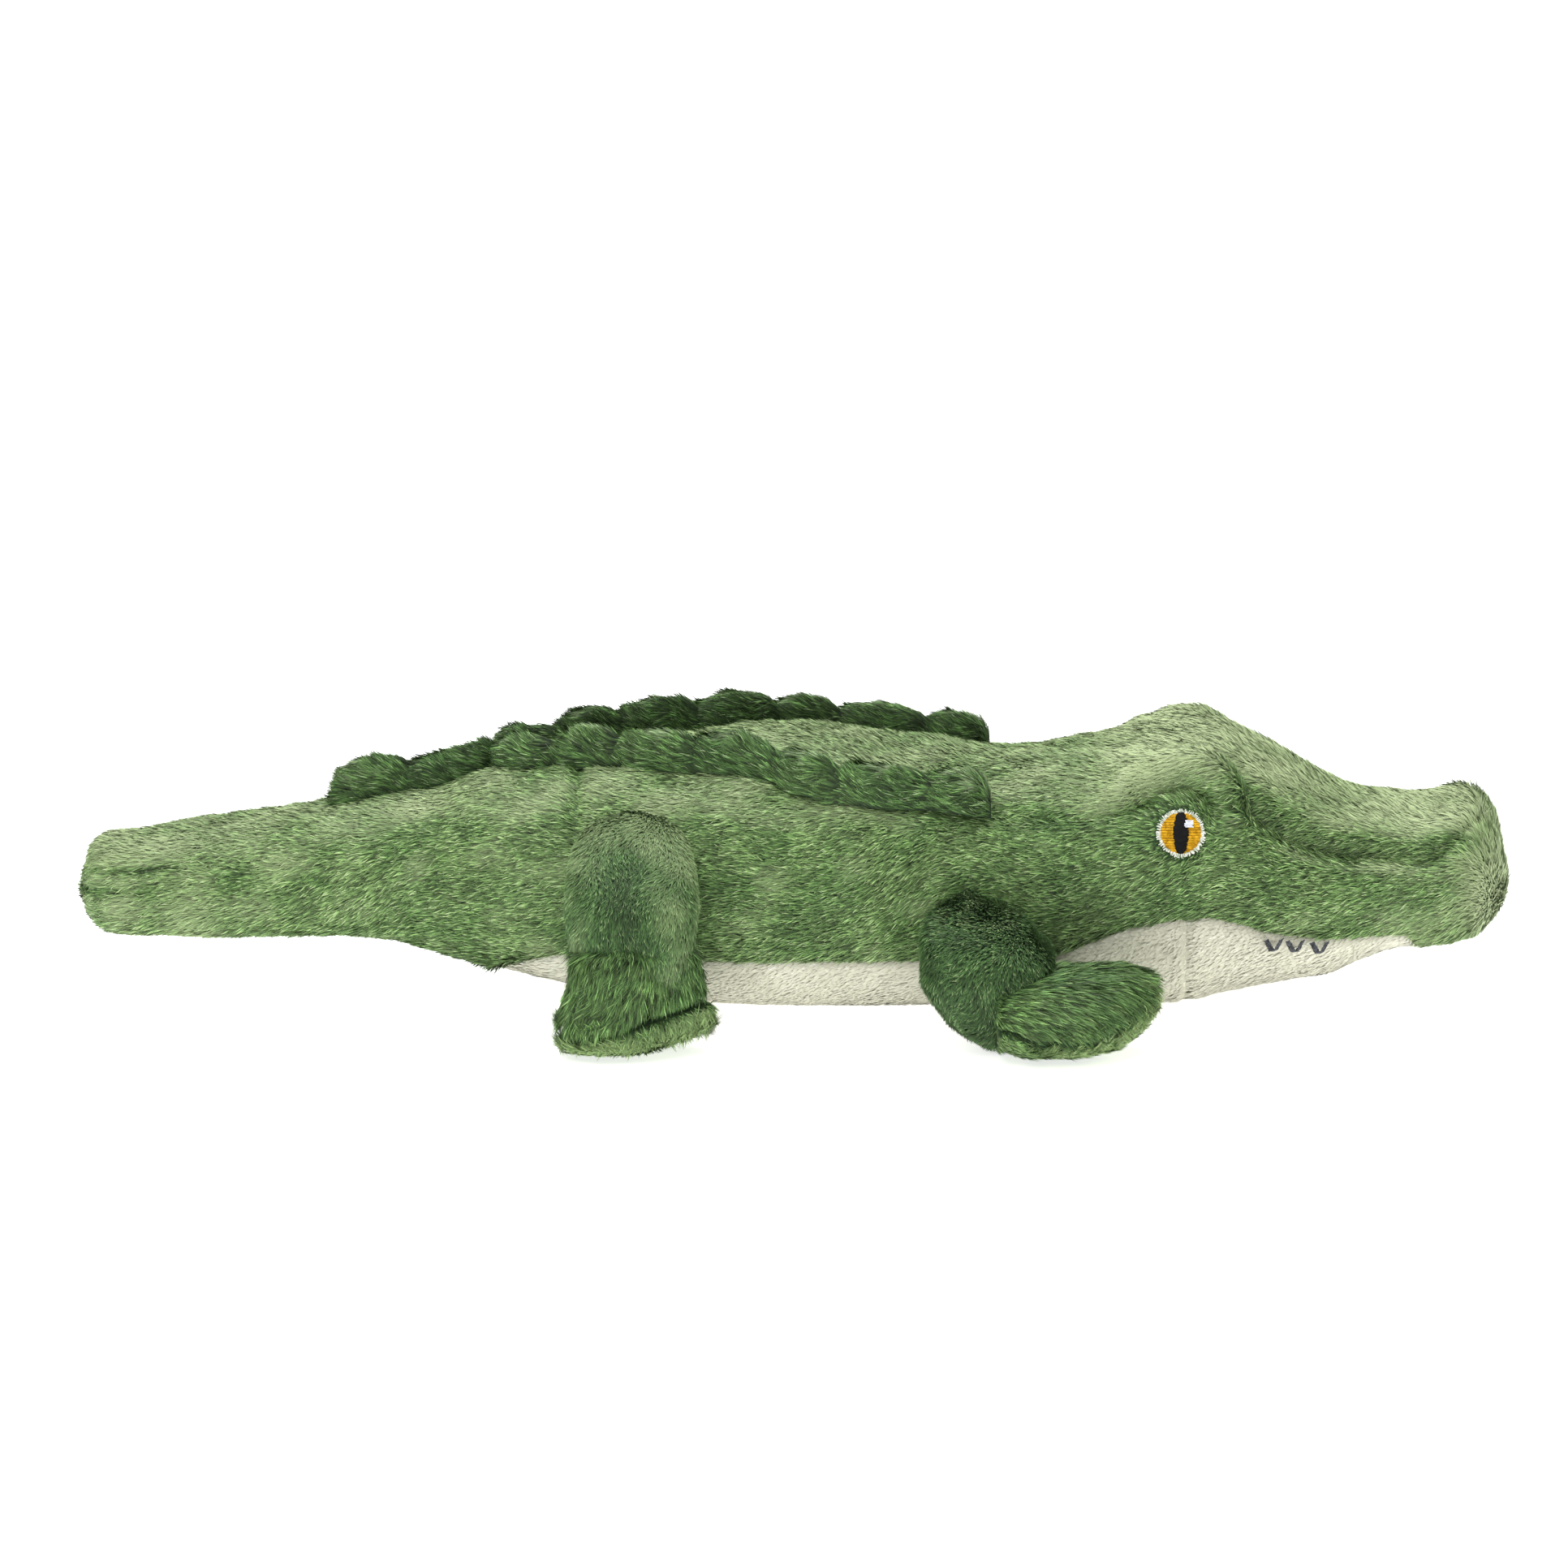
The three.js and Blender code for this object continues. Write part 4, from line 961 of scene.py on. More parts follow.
def make_body():
    back_start, back_end = back_seam_shares[0][0], back_seam_shares[-1][0]
    belly_start, belly_end = belly_seam_shares[0][0], belly_seam_shares[-1][0]
    left, right = (belly_seam, back_seam), (across(back_seam), across(belly_seam))
    back, belly = (back_seam, across(back_seam)), (lambda at: -belly_seam(at), belly_seam)
    # name, first and last place, seams, how it bends, what it stands for and seed
    panels = (
        ("rear_side_left", 0.0, split_share, left, tail_bend,
         ["tail_panel_left", "side_panel_left", "tail_filling"], 3),
        ("rear_side_right", 0.0, split_share, right, tail_bend,
         ["tail_panel_right", "side_panel_right", "torso_filling", "pellet_pouch"], 4),
        ("front_side_left", split_share, 1.0, left, neck_bend,
         ["side_panel_left", "head_side_panel_left", "head_filling"], 3),
        ("front_side_right", split_share, 1.0, right, neck_bend,
         ["side_panel_right", "head_side_panel_right"], 4),
        ("rear_back", back_start, split_share, back, tail_bend, ["back_panel"], 5),
        ("front_back", split_share, back_end, back, neck_bend, ["back_panel", "head_top_panel"], 5),
        ("rear_belly", belly_start, split_share, belly, tail_bend, ["belly_panel"], 6),
        ("front_belly", split_share, belly_end, belly, neck_bend, ["belly_panel", "jaw_panel"], 6),
    )
    for name, start, end, seams, bodies, nodes, seed in panels:
        skin = panel(start, end, *seams)
        if seams is belly:
            piece = skin_piece(f"{name}_panel", skin, white_backing)
            clothe(name, piece, bodies, nodes, "belly_plush", body_fill, white_fur, line_shaded=True, seed=seed,
                   strands=2.2, length=2.0 * MM, width=1.35 * MM, lift=0.3, droop=0.1, spread=0.12,
                   clump=0.0, twist=0.1, softness=1.0)
        else:
            piece = skin_piece(f"{name}_panel", skin, green_backing)
            clothe(name, piece, bodies, nodes, "body_plush", body_fill, body_fur, line_shaded=True, seed=seed)


# Legs and feet
hind_leg = dict(
    share=0.387, height=63.4 * MM, length=36.5 * MM, width=25 * MM, valley_width=4.5 * MM,
    valley_depth=1.3 * MM,
    # height, forward shift, half length, outward place and half width, as shares of the sizes above
    rows=[(0.12, 0.02, 0.38, 0.44, 0.36), (0.30, 0.01, 0.44, 0.44, 0.42), (0.42, 0.00, 0.475, 0.45, 0.47),
          (0.52, 0.00, 0.50, 0.45, 0.51), (0.64, 0.00, 0.515, 0.40, 0.52), (0.745, 0.00, 0.50, 0.24, 0.48),
          (0.835, 0.00, 0.455, 0.04, 0.42), (0.90, 0.00, 0.385, -0.14, 0.36),
          (0.943, 0.00, 0.28, -0.26, 0.25), (0.97, 0.00, 0.10, -0.34, 0.10)])
hind_foot = dict(
    shift=0.88 * MM, height=33 * MM, length=44 * MM, reach=29.5 * MM, taper=0.38, sole_rise=3.4 * MM,
    # height, half length, inner side and outer side, as shares of the sizes above
    rows=[(0.00, 0.40, 0.05, 0.77), (0.10, 0.48, 0.01, 0.94), (0.28, 0.50, 0.00, 1.00),
          (0.45, 0.46, 0.00, 0.95), (0.65, 0.42, 0.00, 0.90), (0.80, 0.40, 0.02, 0.87),
          (0.91, 0.365, 0.05, 0.83), (1.00, 0.20, 0.16, 0.60)])
front_leg = dict(
    share=0.616, height=42 * MM, length=35 * MM, width=26 * MM,
    # the same columns as the hind leg's
    rows=[(0.00, 0.38, 0.20, 0.30, 0.23), (0.20, 0.27, 0.40, 0.39, 0.43), (0.50, 0.20, 0.53, 0.41, 0.48),
          (0.62, 0.20, 0.53, 0.38, 0.47), (0.74, 0.145, 0.475, 0.31, 0.43),
          (0.876, 0.09, 0.34, 0.14, 0.30), (0.932, 0.05, 0.18, -0.04, 0.16),
          (0.97, 0.04, 0.04, -0.10, 0.05)])
front_foot = dict(
    start=9.6 * MM, height=26 * MM, length=43.5 * MM, reach=31.5 * MM, outer_slope=0.24,
    # place along the foot, bottom, top, inner side and outer side, as shares of the sizes above
    rows=[(-0.02, 0.06, 0.94, 0.08, 0.94), (0.20, 0.00, 1.04, 0.02, 1.10), (0.42, 0.00, 1.07, 0.00, 1.12),
          (0.68, 0.03, 1.06, 0.00, 0.91), (0.86, 0.16, 0.97, 0.02, 0.65), (0.96, 0.36, 0.88, 0.10, 0.48),
          (1.00, 0.50, 0.76, 0.20, 0.38)])
form_fullness = 2.5
sides_round = 56
leg_overlap = 1.5 * MM
foot_groove_width = 1.7 * MM
foot_groove_depth = 3.0 * MM
bare_sole_height = 0.6 * MM


def flank(x, z):
    """How far out the body's side lies at a place and a height."""
    middle, rise, half = section(x / body_length + 0.5)
    share = np.clip(np.abs(z - middle) / rise, 0, 0.999)
    return half * (1 - share ** section_fullness) ** (1 / section_fullness)


def rows_between(table, count, bunch):
    """Places through a table, drawn towards its last row so that a dome stays round."""
    t = np.linspace(0, 1, count)
    t = t + bunch * (t - t * t) * 0.9
    return table[0][0] + (table[-1][0] - table[0][0]) * t


def read_columns(table, rows):
    """All of a table's columns but the first, each at many rows."""
    return [read_share(table, rows, column)[:, None] for column in range(1, len(table[0]))]


def between(low, high, share):
    """From low, where share is -1, to high, where it is 1."""
    return (low + high) / 2 + (high - low) / 2 * share


def round_angles():
    angle = np.linspace(0, 2 * math.pi, sides_round, endpoint=False)
    return rounded(np.cos(angle), form_fullness), rounded(np.sin(angle), form_fullness)


def closed_normals(points):
    along = np.gradient(points, axis=0)
    around = np.roll(points, -1, axis=1) - np.roll(points, 1, axis=1)
    normals = unit(np.cross(around, along))
    outward = points - points.mean(axis=(0, 1))
    return normals if (normals * outward).sum() > 0 else -normals


def sewn_skin(points, depth):
    """A closed form's fabric, which lies under the pile's tips."""
    normals = closed_normals(points)
    return Skin(points - normals * depth, normals)


def mirrored(skin, side):
    """The same fabric on the toy's other side, with its faces still pointing out."""
    if side > 0:
        return skin
    flip = np.array([1, -1, 1])
    turned = Skin(skin.points[:, ::-1] * flip, skin.normals[:, ::-1] * flip)
    turned.comb = skin.comb[:, ::-1] * flip
    turned.pile, turned.growth, turned.tint = (v[:, ::-1] for v in (skin.pile, skin.growth, skin.tint))
    return turned


def leg_points(leg, inner_from, inner_least):
    rows = rows_between(leg["rows"], count=46, bunch=0.5)
    shift, half_length, out, half_width = read_columns(leg["rows"], rows)
    u, v = round_angles()
    x = place_x(leg["share"]) + (shift + half_length * u) * leg["length"]
    y = leg_inner + (out + half_width * v) * leg["width"]
    z = rows[:, None] * leg["height"] + 0 * x
    inner = np.maximum(flank(x, z) - leg_overlap, inner_least)
    inner = leg_inner + (inner - leg_inner) * smooth(*inner_from, z)
    pull = smooth(0, 1, -v)[None, :]
    return np.stack([x, y + (np.minimum(y, inner) - y) * pull, z], axis=-1)


def hind_leg_skin():
    points = leg_points(hind_leg, (18 * MM, 30 * MM), 38 * MM)
    skin = sewn_skin(points, leg_depth)
    x, y, z = (points[..., i] for i in range(3))
    middle = place_x(hind_leg["share"]) + 1.5 * MM * np.sin(z / (9 * MM))
    valley = hill(x - middle, hind_leg["valley_width"])
    valley = valley * smooth(20 * MM, 30 * MM, z) * (1 - smooth(50 * MM, 60 * MM, z))
    outer = smooth(leg_inner, leg_inner + 8 * MM, y)
    skin.points -= skin.normals * (hind_leg["valley_depth"] * valley * outer)[..., None]
    swirl = ripple(points, 24 * MM, seed=41)
    skin.comb[..., 2] = -1
    skin.comb[..., 1] = 0.9 * smooth(50 * MM, 62 * MM, z)
    skin.comb[..., 0] = 0.25 * np.sign(x - middle) * hill(x - middle, 9 * MM) + 0.35 * swirl - 0.2
    # Painted shade in the valley down the leg's outer side, painted light on its upper part and crest, and
    # random tone; the leg is also paler towards its front and back ends and its front half
    skin.tint = 0.45 * valley * outer + 0.08 * ripple(points, 12 * MM, seed=42)
    skin.tint -= 0.1 * smooth(0.5, 0.95, np.abs(x - middle) / (0.5 * hind_leg["length"]))
    skin.tint -= 0.06 * smooth(0, 12 * MM, x - middle) + 0.2 * smooth(44 * MM, 58 * MM, z)
    skin.tint -= 0.12 * smooth(55 * MM, 62 * MM, z)
    skin.pile = 0.95 + 0.15 * ripple(points, 6 * MM, seed=43)
    inside = flank(x, z) - 5 * MM * smooth(40 * MM, 55 * MM, z)
    skin.growth = smooth(15 * MM, 18 * MM, z) * smooth(inside - 3 * MM, inside, y)
    return skin


def hind_foot_skin():
    foot = hind_foot
    rows = rows_between(foot["rows"], count=40, bunch=0.2)
    half_length, inner, outer = read_columns(foot["rows"], rows)
    u, v = round_angles()
    taper = 1 - foot["taper"] * ((1 + u) / 2) ** 2
    x = place_x(hind_leg["share"]) + foot["shift"] + half_length * u * foot["length"]
    y = leg_inner + between(inner, outer, v) * taper * foot["reach"]
    z = rows[:, None] * foot["height"] + foot["sole_rise"] * smooth(0.0, 1, u) * (1 - rows[:, None]) ** 1.5
    points = np.stack([x, y, z], axis=-1)
    skin = sewn_skin(points, foot_depth)
    seam = (7.6 + 8.0 * smooth(-0.7, 1, u)) * MM
    foot_finish(skin, points, seam, outward=unit(np.stack([u, 1.1 * v, 0 * u], axis=-1))[None])
    dip = hill(x - (place_x(hind_leg["share"]) + 6 * MM), 5 * MM) * hill(z - 12 * MM, 7 * MM) * (v > 0)
    skin.points -= skin.normals * (1.6 * MM * dip)[..., None]
    # Painted shade in the dent
    skin.tint += 0.3 * dip
    return skin


def foot_finish(skin, points, seam, outward, flow=(0, 0, 0), paler=0.42):
    """The seam between a foot's upper and its sole, and the long pile that is combed away from it."""
    z = points[..., 2]
    from_seam = z - seam
    groove = hill(from_seam, foot_groove_width) * (z > 1.5 * MM)
    skin.points -= skin.normals * (foot_groove_depth * groove)[..., None]
    upper = smooth(0, 2.5 * MM, from_seam)[..., None]
    locks = ripple(points, 5 * MM, seed=52)
    sway = ripple(points, 17 * MM, seed=53)[..., None] * np.array([0.25, 0.1, 0])
    down = np.array([0, 0, -1.0])
    above = outward * 0.75 + down * 0.55 + np.array(flow) + sway
    below = outward * 0.9 + down * 0.35
    skin.comb = above * upper + below * (1 - upper) + (np.roll(outward, 1, -1) * locks[..., None] * 0.28)
    # Painted shade in the seam's groove, a paler band below the seam and random tone by the locks
    skin.tint = 0.85 * groove - paler * (1 - upper[..., 0]) * (1 - groove) + 0.1 * locks
    skin.pile = 1 + 0.15 * locks - 0.5 * hill(from_seam, 3.0 * MM) - 0.2 * (1 - upper[..., 0])
    skin.growth = np.where(z < bare_sole_height, 0.0, 1.0 - 0.6 * groove)


def front_leg_skin():
    points = leg_points(front_leg, (8 * MM, 18 * MM), 38 * MM)
    skin = sewn_skin(points, leg_depth)
    x, y, z = (points[..., i] for i in range(3))
    skin.comb[..., 2] = -0.7
    skin.comb[..., 1] = 0.35
    skin.comb[..., 0] = -0.35 + 0.5 * ripple(points, 22 * MM, seed=61)
    skin.comb[..., 2] += 0.5 * ripple(points, 15 * MM, seed=62)
    # Painted shade over the whole leg, which faces away from the light, with random tone, and painted
    # light on its upper part
    skin.tint = 0.24 + 0.14 * ripple(points, 9 * MM, seed=63) - 0.26 * smooth(26 * MM, 40 * MM, z)
    inside = flank(x, z) - 4 * MM * smooth(24 * MM, 34 * MM, z)
    skin.growth = smooth(0.4 * MM, 1.5 * MM, z) * smooth(inside - 3 * MM, inside, y)
    skin.pile = 0.85 + 0.15 * ripple(points, 5 * MM, seed=64)
    return skin


def front_foot_skin():
    foot = front_foot
    rows = rows_between(foot["rows"], count=44, bunch=0.25)
    bottom, top, inner, outer = read_columns(foot["rows"], rows)
    u, v = round_angles()
    x = place_x(front_leg["share"]) + foot["start"] + rows[:, None] * foot["length"] + 0 * u
    y = leg_inner + between(inner, outer, u) * foot["reach"]
    z = between(bottom, top, v) * foot["height"]
    slope = foot["outer_slope"] * np.clip(y - leg_inner, 0, None) * smooth(6 * MM, 24 * MM, z)
    points = np.stack([x, y, z - slope], axis=-1)
    skin = sewn_skin(points, foot_depth)
    ahead = smooth(0.3, 1.0, rows)[:, None]
    at_heel = 1 - smooth(0.02, 0.24, rows)[:, None]
    seam = bottom * foot["height"] + (6 + 2 * ahead + 3 * at_heel) * MM + 0 * u
    outward = unit(np.stack([0.25 + 1.1 * ahead + 0 * u, 0.75 * u + 0 * ahead, 0 * u * ahead], axis=-1))
    foot_finish(skin, points, seam, outward=outward, flow=(0.9, 0, 0.1),
                paler=0.2 + 0.4 * smooth(0.15, 0.4, rows)[:, None])
    skin.pile *= 0.6 + 0.4 * smooth(0.02, 0.14, rows)[:, None]
    return skin


def make_limb(name, skin, side, nodes, slot, finish, **pile):
    piece = skin_piece(f"{name}_cloth", mirrored(skin, side), leg_backing, closed=True)
    clothe(name, piece, name, nodes, slot, body_fill, finish, **pile)


def make_legs():
    hind_pile = dict(length=2.5 * MM, width=0.36 * MM, lift=0.55, stretch=(1, 1, 0.45))
    front_pile = dict(length=2.6 * MM, width=0.38 * MM, lift=1.1, stretch=(1, 1, 1))
    kinds = (("hind", hind_leg_skin(), hind_foot_skin(), hind_pile, (1, 1, 0.45)),
             ("front", front_leg_skin(), front_foot_skin(), front_pile, (0.45, 1, 1)))
    for kind, leg_skin, foot_skin, leg_pile, foot_stretch in kinds:
        for side_name, side in (("left", 1), ("right", -1)):
            make_limb(f"{kind}_leg_{side_name}", leg_skin, side,
                      [f"{kind}_leg_{part}_{side_name}" for part in ("sleeve", "filling")],
                      "leg_plush", leg_fur, seed=8, strands=7.4, **leg_pile)
            make_limb(f"{kind}_foot_{side_name}", foot_skin, side,
                      [f"{kind}_foot_{part}_{side_name}" for part in ("upper", "sole", "filling")],
                      "foot_plush", foot_fur, seed=9, strands=7.0, length=5.6 * MM, width=0.4 * MM,
                      lift=0.34, droop=0.25, spread=0.1, clump=0.9, tuft=1.2 * MM, stray=0.2,
                      stretch=foot_stretch, softness=0.4)


# Scalloped strips
def fin_skin(start, end, valleys, heights, turn_at, inner_side=0):
    """A strip's skin. inner_side says which of its faces looks at the other strip, 0 that it is alone."""
    along = np.linspace(0, 1, (len(valleys) - 1) * fin_steps + 1)
    at = start + (end - start) * along
    foot = body_point(at, turn_at(at))
    ahead = np.gradient(foot, axis=0)
    ahead[:, 2] = 0
    ahead = unit(ahead)
    sideways = np.stack([-ahead[:, 1], ahead[:, 0], 0 * at], axis=-1)
    count = len(valleys) - 1
    phase = np.interp(along, valleys, np.arange(count + 1))
    from_end = np.minimum(phase, count - phase) * 2
    wave = np.where(from_end < 1, 1, np.abs(np.sin(math.pi * phase)) ** 0.7)
    close = (1 - (1 - np.minimum(1, from_end * 1.3)) ** 2.2) ** (1 / 2.2)
    height = (fin_height - fin_pile_rise) * (1 - fin_valley * (1 - wave)) * (0.3 + 0.7 * close)
    height *= read_share(heights, along, 1)
    thick = fin_thickness * (0.4 + 0.6 * close) * (0.68 + 0.36 * wave)
    sway = fin_sway * np.sin(2 * math.pi * phase + 0.7)
    t = np.linspace(0, math.pi, fin_points_round)
    side = rounded(np.cos(t), 3.0)
    up = rounded(np.sin(t), 2.6)
    rise = up[None, :] * (height[:, None] + fin_sink) - fin_sink
    lean = sway[:, None] * np.clip(rise / fin_height, 0, 1)
    shift = side[None, :] * thick[:, None] / 2 + lean
    points = foot[:, None, :] + sideways[:, None, :] * shift[..., None]
    points[..., 2] += rise
    along_grid = np.gradient(points, axis=0)
    around = np.gradient(points, axis=1)
    normals = unit(np.cross(around, along_grid))
    skin = Skin(points, normals)
    locks = ripple(points, 4.5 * MM, seed=71)
    skin.comb = -ahead[:, None, :] + np.array([0, 0, 0.4]) + np.zeros_like(points)
    skin.comb[..., 2] += 0.4 * ripple(points, 9 * MM, seed=72)
    skin.pile = (1 + 0.2 * locks) * (0.9 + 0.1 * wave[:, None])
    # Random tone by the locks, painted shade in the dips between scallops and towards the strip's foot,
    # and painted light on the scallops' tops
    skin.tint = 0.12 * locks + 0.4 * (1 - wave[:, None]) * smooth(0.2, 0.8, up)[None, :]
    skin.tint -= 0.3 * smooth(0.94, 1.0, up)[None, :] * wave[:, None]
    skin.tint += 0.18 * (1 - smooth(0.1, 0.7, up))[None, :]
    # Painted shade on the face that looks at the other strip; a lone strip is painted darker towards its
    # front end, in the back strip's shadow
    if inner_side:
        skin.tint += 0.33 * smooth(-0.2, 0.8, side * inner_side)[None, :]
    else:
        skin.tint += 0.3 * smooth(0.2, 1, along)[:, None]
    return skin


def make_fin(name, skin, bodies, seed):
    piece = skin_piece(f"{name}_cloth", skin, fin_backing)
    clothe(name, piece, bodies, [name], "fin_plush", fin_fill, fin_fur, seed=seed, strands=10.4,
           length=4.8 * MM, width=0.36 * MM, lift=0.36, droop=0.25, spread=0.1, clump=0.8,
           tuft=0.85 * MM, stray=0.15, softness=0.45)


def make_fins():
    left = fin_skin(**back_fin, turn_at=back_seam, inner_side=-1)
    right = fin_skin(**back_fin, turn_at=across(back_seam), inner_side=1)
    make_fin("back_fin_left", left, neck_bend, 14)
    make_fin("back_fin_right", right, neck_bend, 15)
    make_fin("tail_fin", fin_skin(**tail_fin, turn_at=lambda at: 1 + 0 * at), tail_bend, 16)


# Embroidery, sewn with one node tree
def thread_tree():
    tree = Tree("thread", [("Thickness", "Float"), ("Finish", "Material")])
    path = tree.node("GeometryNodeMeshToCurve", Mesh=tree.put["Geometry"])
    half = tree.math("MULTIPLY", tree.put["Thickness"], 0.5)
    ring = tree.node("GeometryNodeCurvePrimitiveCircle", Resolution=6, Radius=half)
    sewn = tree.node("GeometryNodeCurveToMesh", Curve=path, Profile_Curve=ring, Fill_Caps=True)
    sewn = tree.node("GeometryNodeRealizeInstances", Geometry=sewn)
    sewn = tree.node("GeometryNodeSetMaterial", Geometry=sewn, Material=tree.put["Finish"])
    return tree.finish(sewn)


stitch_tree = thread_tree()


def sew(name, lines, finish, thickness=thread):
    """Threads along lists of points, as one mesh."""
    points, edges = [], []
    for line in lines:
        first = len(points)
        points += [tuple(p) for p in line]
        edges += [(i, i + 1) for i in range(first, first + len(line) - 1)]
    path = bpy.data.meshes.new(name)
    path.from_pydata(points, edges, [])
    mesh = grown_mesh(name, path, stitch_tree, Thickness=thickness, Finish=finish)
    mesh.shade_smooth()
    return placed(name, mesh)


def eye_frame(side):
    """The eye's middle and its directions forward, up and out, on either side of the head."""
    normal = body_normal(*eye_spot)
    forward = unit(np.array([1.0, 0, 0]) - normal * normal[0])
    up = np.cross(forward, normal)
    up = up if up[2] > 0 else -up
    flip = np.array([1, side, 1])
    return eye_place * flip, forward * flip, up * flip, normal * flip


def dome(frame_of_eye, a, b, height):
    """A point over the eye's patch: forward, up and proud of the fabric."""
    centre, forward, up, normal = frame_of_eye
    fall = (a * a + b * b) / (2 * eye_curve)
    return centre + forward * a + up * b + normal * (height - fall)


def make_eye(side_name, side):
    patch = eye_frame(side)
    draw = np.random.default_rng(17)
    outer = eye_diameter / 2
    inner = outer - eye_ring_width
    pupil_high = inner * pupil_end_share

    def pupil_half(b):
        return pupil_width / 2 * max(0.0, 1 - (b / pupil_high) ** 2) ** 0.5

    def row(a_from, a_to, b, lift):
        steps = np.linspace(0, 1, 6)
        wobble = draw.uniform(-0.03, 0.03) * MM
        return [dome(patch, a_from + (a_to - a_from) * s, b + wobble,
                     eye_base + lift + row_bulge * math.sin(math.pi * s)) for s in steps]

    iris, pupil = [], []
    for number in range(int(2 * inner / eye_row_pitch)):
        b = -inner + eye_row_pitch * (number + 0.6)
        reach = math.sqrt(inner ** 2 - b ** 2) + 0.15 * MM
        gap = pupil_half(b)
        for way in (-1, 1):
            start = way * max(gap - draw.uniform(0.1, 0.5) * MM, 0.05 * MM)
            iris.append(row(start, way * (reach - draw.uniform(0, 0.25) * MM), b, 0))
        for half_row in (-0.25, 0.25):
            gap = pupil_half(b + half_row * eye_row_pitch)
            if gap > 0.1 * MM:
                slip = draw.uniform(-0.2, 0.2, 2) * MM
                pupil.append(row(-gap + slip[0], gap + slip[1], b + half_row * eye_row_pitch, pupil_lift))
    ring = []
    for number in range(eye_ring_stitches):
        angle = 2 * math.pi * (number + draw.uniform(-0.25, 0.25)) / eye_ring_stitches
        skew = draw.uniform(-0.03, 0.03)
        low = inner - draw.uniform(0.0, 0.3) * MM
        high = outer + draw.uniform(-0.45, 0.3) * MM
        ring.append([dome(patch, r * math.cos(angle + skew * s), r * math.sin(angle + skew * s),
                          eye_base + ring_lift + ring_bulge * math.sin(math.pi * s))
                     for s, r in zip(np.linspace(0, 1, 5), np.linspace(low, high, 5))])
    glint = [row(glint_forward - glint_half + draw.uniform(-0.3, 0.2) * MM,
                 glint_forward + glint_half + draw.uniform(-0.2, 0.3) * MM,
                 glint_up + glint_pitch * step, glint_lift) for step in range(-3, 4)]
    for part, lines, finish, slot in (("iris", iris, amber_thread, "amber_thread"),
                                      ("pupil", pupil, black_thread, "black_thread"),
                                      ("ring", ring, ring_thread, "ring_thread"),
                                      ("glint", glint, glint_thread, "glint_thread")):
        piece = sew(f"eye_{part}_stitches_{side_name}", lines, finish)
        dress(piece, "head", [f"eye_{part}_{side_name}"])
    make_eye_pad(side_name, patch, outer - 0.3 * MM)


def make_eye_pad(side_name, patch, radius):
    """The stiff felt under the stitches, a low dome with a rim that reaches the fabric."""
    rings, columns = 10, 48
    low = eye_base - eye_rim
    angle = np.linspace(0, 2 * math.pi, columns, endpoint=False)
    rows = [(radius * (i / rings), eye_base) for i in range(1, rings + 1)] + [(radius, low)]
    points = [[dome(patch, r * math.cos(a), r * math.sin(a), high) for a in angle] for r, high in rows]
    faces = [tuple(f) for f in grid_faces(len(rows), columns, closed=True)]
    flat = np.vstack([np.array(points).reshape(-1, 3), [dome(patch, 0, 0, eye_base)],
                      [dome(patch, 0, 0, low)]])
    top, bottom = len(flat) - 2, len(flat) - 1
    last = (len(rows) - 1) * columns
    for j in range(columns):
        k = (j + 1) % columns
        faces += [(j, top, k), (last + j, last + k, bottom)]
    pad = new_piece(f"eye_pad_{side_name}", flat, faces, amber_pad)
    face_out(pad)
    dress(pad, "head", ())


def face_out(piece):
    """Turns a closed piece's faces outwards."""
    made = bmesh.new()
    made.from_mesh(piece.data)
    bmesh.ops.recalc_face_normals(made, faces=made.faces)
    made.to_mesh(piece.data)
    made.free()


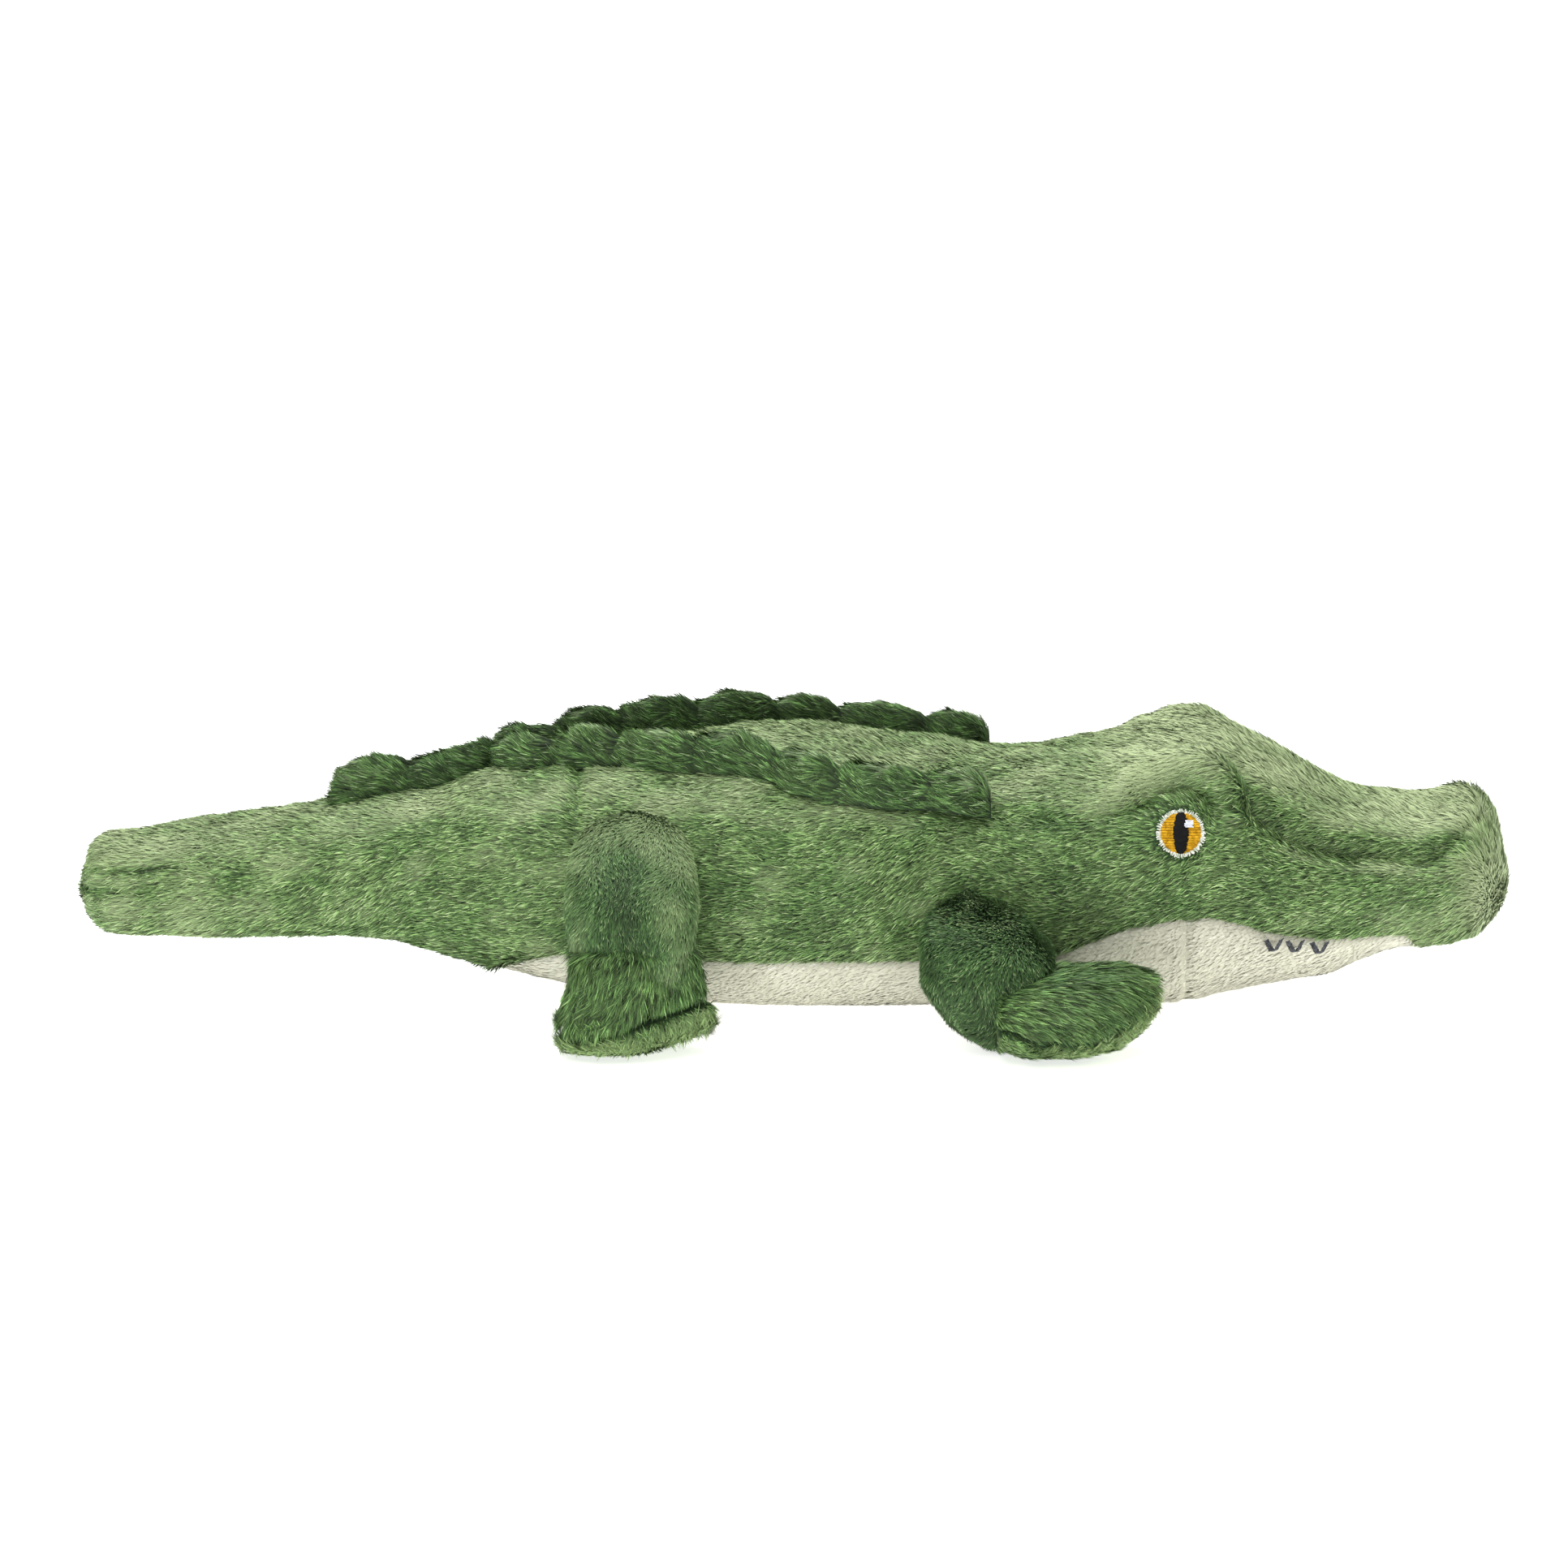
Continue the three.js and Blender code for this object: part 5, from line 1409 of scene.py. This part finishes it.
def make_teeth():
    """Three little satin-stitched points on each side, under the edge of the lip."""
    draw = np.random.default_rng(23)
    half = tooth_width / 2 - 0.4 * MM
    corners = [(-half, 0.3 * MM), (-half * 0.3, -tooth_drop), (half * 0.3, -tooth_drop), (half, 0.3 * MM)]
    edges = len(corners) - 1
    for number, (at, height) in enumerate(tooth_places):
        x0, z0 = place_x(at), height * back_height + tooth_drop / 2
        for side_name, side in (("left", 1), ("right", -1)):
            lines = []
            for share in np.linspace(0, 1, tooth_stitches):
                spot = share * edges
                edge = min(int(spot), edges - 1)
                a, b = corners[edge], corners[edge + 1]
                t = spot - edge
                x, z = x0 + (a[0] + (b[0] - a[0]) * t), z0 + (a[1] + (b[1] - a[1]) * t)
                slant = 0.62 * MM * draw.uniform(0.75, 1.15)
                lines.append([tooth_point(x + k * slant, z + 0.45 * k * slant, side,
                                          0.3 * MM + 0.3 * MM * (1 - k * k))
                              for k in (-1, -0.5, 0, 0.5, 1)])
            piece = sew(f"tooth_{number + 1}_stitches_{side_name}", lines, tooth_thread, 0.3 * MM)
            dress(piece, "head", [f"tooth_{number + 1}_{side_name}"])


def tooth_point(x, z, side, proud):
    return np.array([x, side * (flank(x, z) + proud), z])


# Camera, floor and light
def make_studio():
    camera_data = bpy.data.cameras.new("camera")
    camera_data.sensor_width = 36
    camera_data.lens = 800
    camera_data.clip_end = 40
    frame_width = 416 * MM
    distance = frame_width * camera_data.lens / camera_data.sensor_width
    target = Vector((-2.7 * MM, 0, 58.8 * MM))
    elevation = math.radians(14)
    camera = placed("camera", camera_data)
    camera.location = target + distance * Vector((0, -math.cos(elevation), math.sin(elevation)))
    camera.rotation_euler = (target - camera.location).to_track_quat("-Z", "Y").to_euler()
    bpy.context.scene.camera = camera

    shader = Shader("floor_white")
    shader.set(base_color=srgb("f7f7f6"), roughness=0.9, emission_color=srgb("ffffff"),
               emission_strength=0.7)
    side = 6.0
    floor = new_piece("floor", [(-side, -side, 0), (side, -side, 0), (side, side, 0), (-side, side, 0)],
                      [(0, 1, 2, 3)], shader.material, soft=False)
    floor.location.z = -0.4 * MM

    world = bpy.data.worlds.new("studio")
    world.use_nodes = True
    sky = world.node_tree.nodes["Background"]
    sky.inputs["Color"].default_value = (1.0, 1.0, 1.0, 1.0)
    sky.inputs["Strength"].default_value = 0.62
    bpy.context.scene.world = world
    aim = Vector((0, 0, 0.04))
    # name, place, size and watts
    lamps = (("overhead", (0.0, 0.15, 1.5), 1.4, 25.0), ("key", (-0.6, -1.3, 1.1), 0.8, 8.0))
    for name, place, size, watts in lamps:
        data = bpy.data.lights.new(name, "AREA")
        data.size = size
        data.energy = watts
        lamp = placed(name, data)
        lamp.location = place
        lamp.rotation_euler = (aim - Vector(place)).to_track_quat("-Z", "Y").to_euler()
    bpy.context.scene.view_settings.view_transform = "Standard"


make_studio()
make_body()
make_legs()
make_fins()
for side_name, side in (("left", 1), ("right", -1)):
    make_eye(side_name, side)
make_teeth()
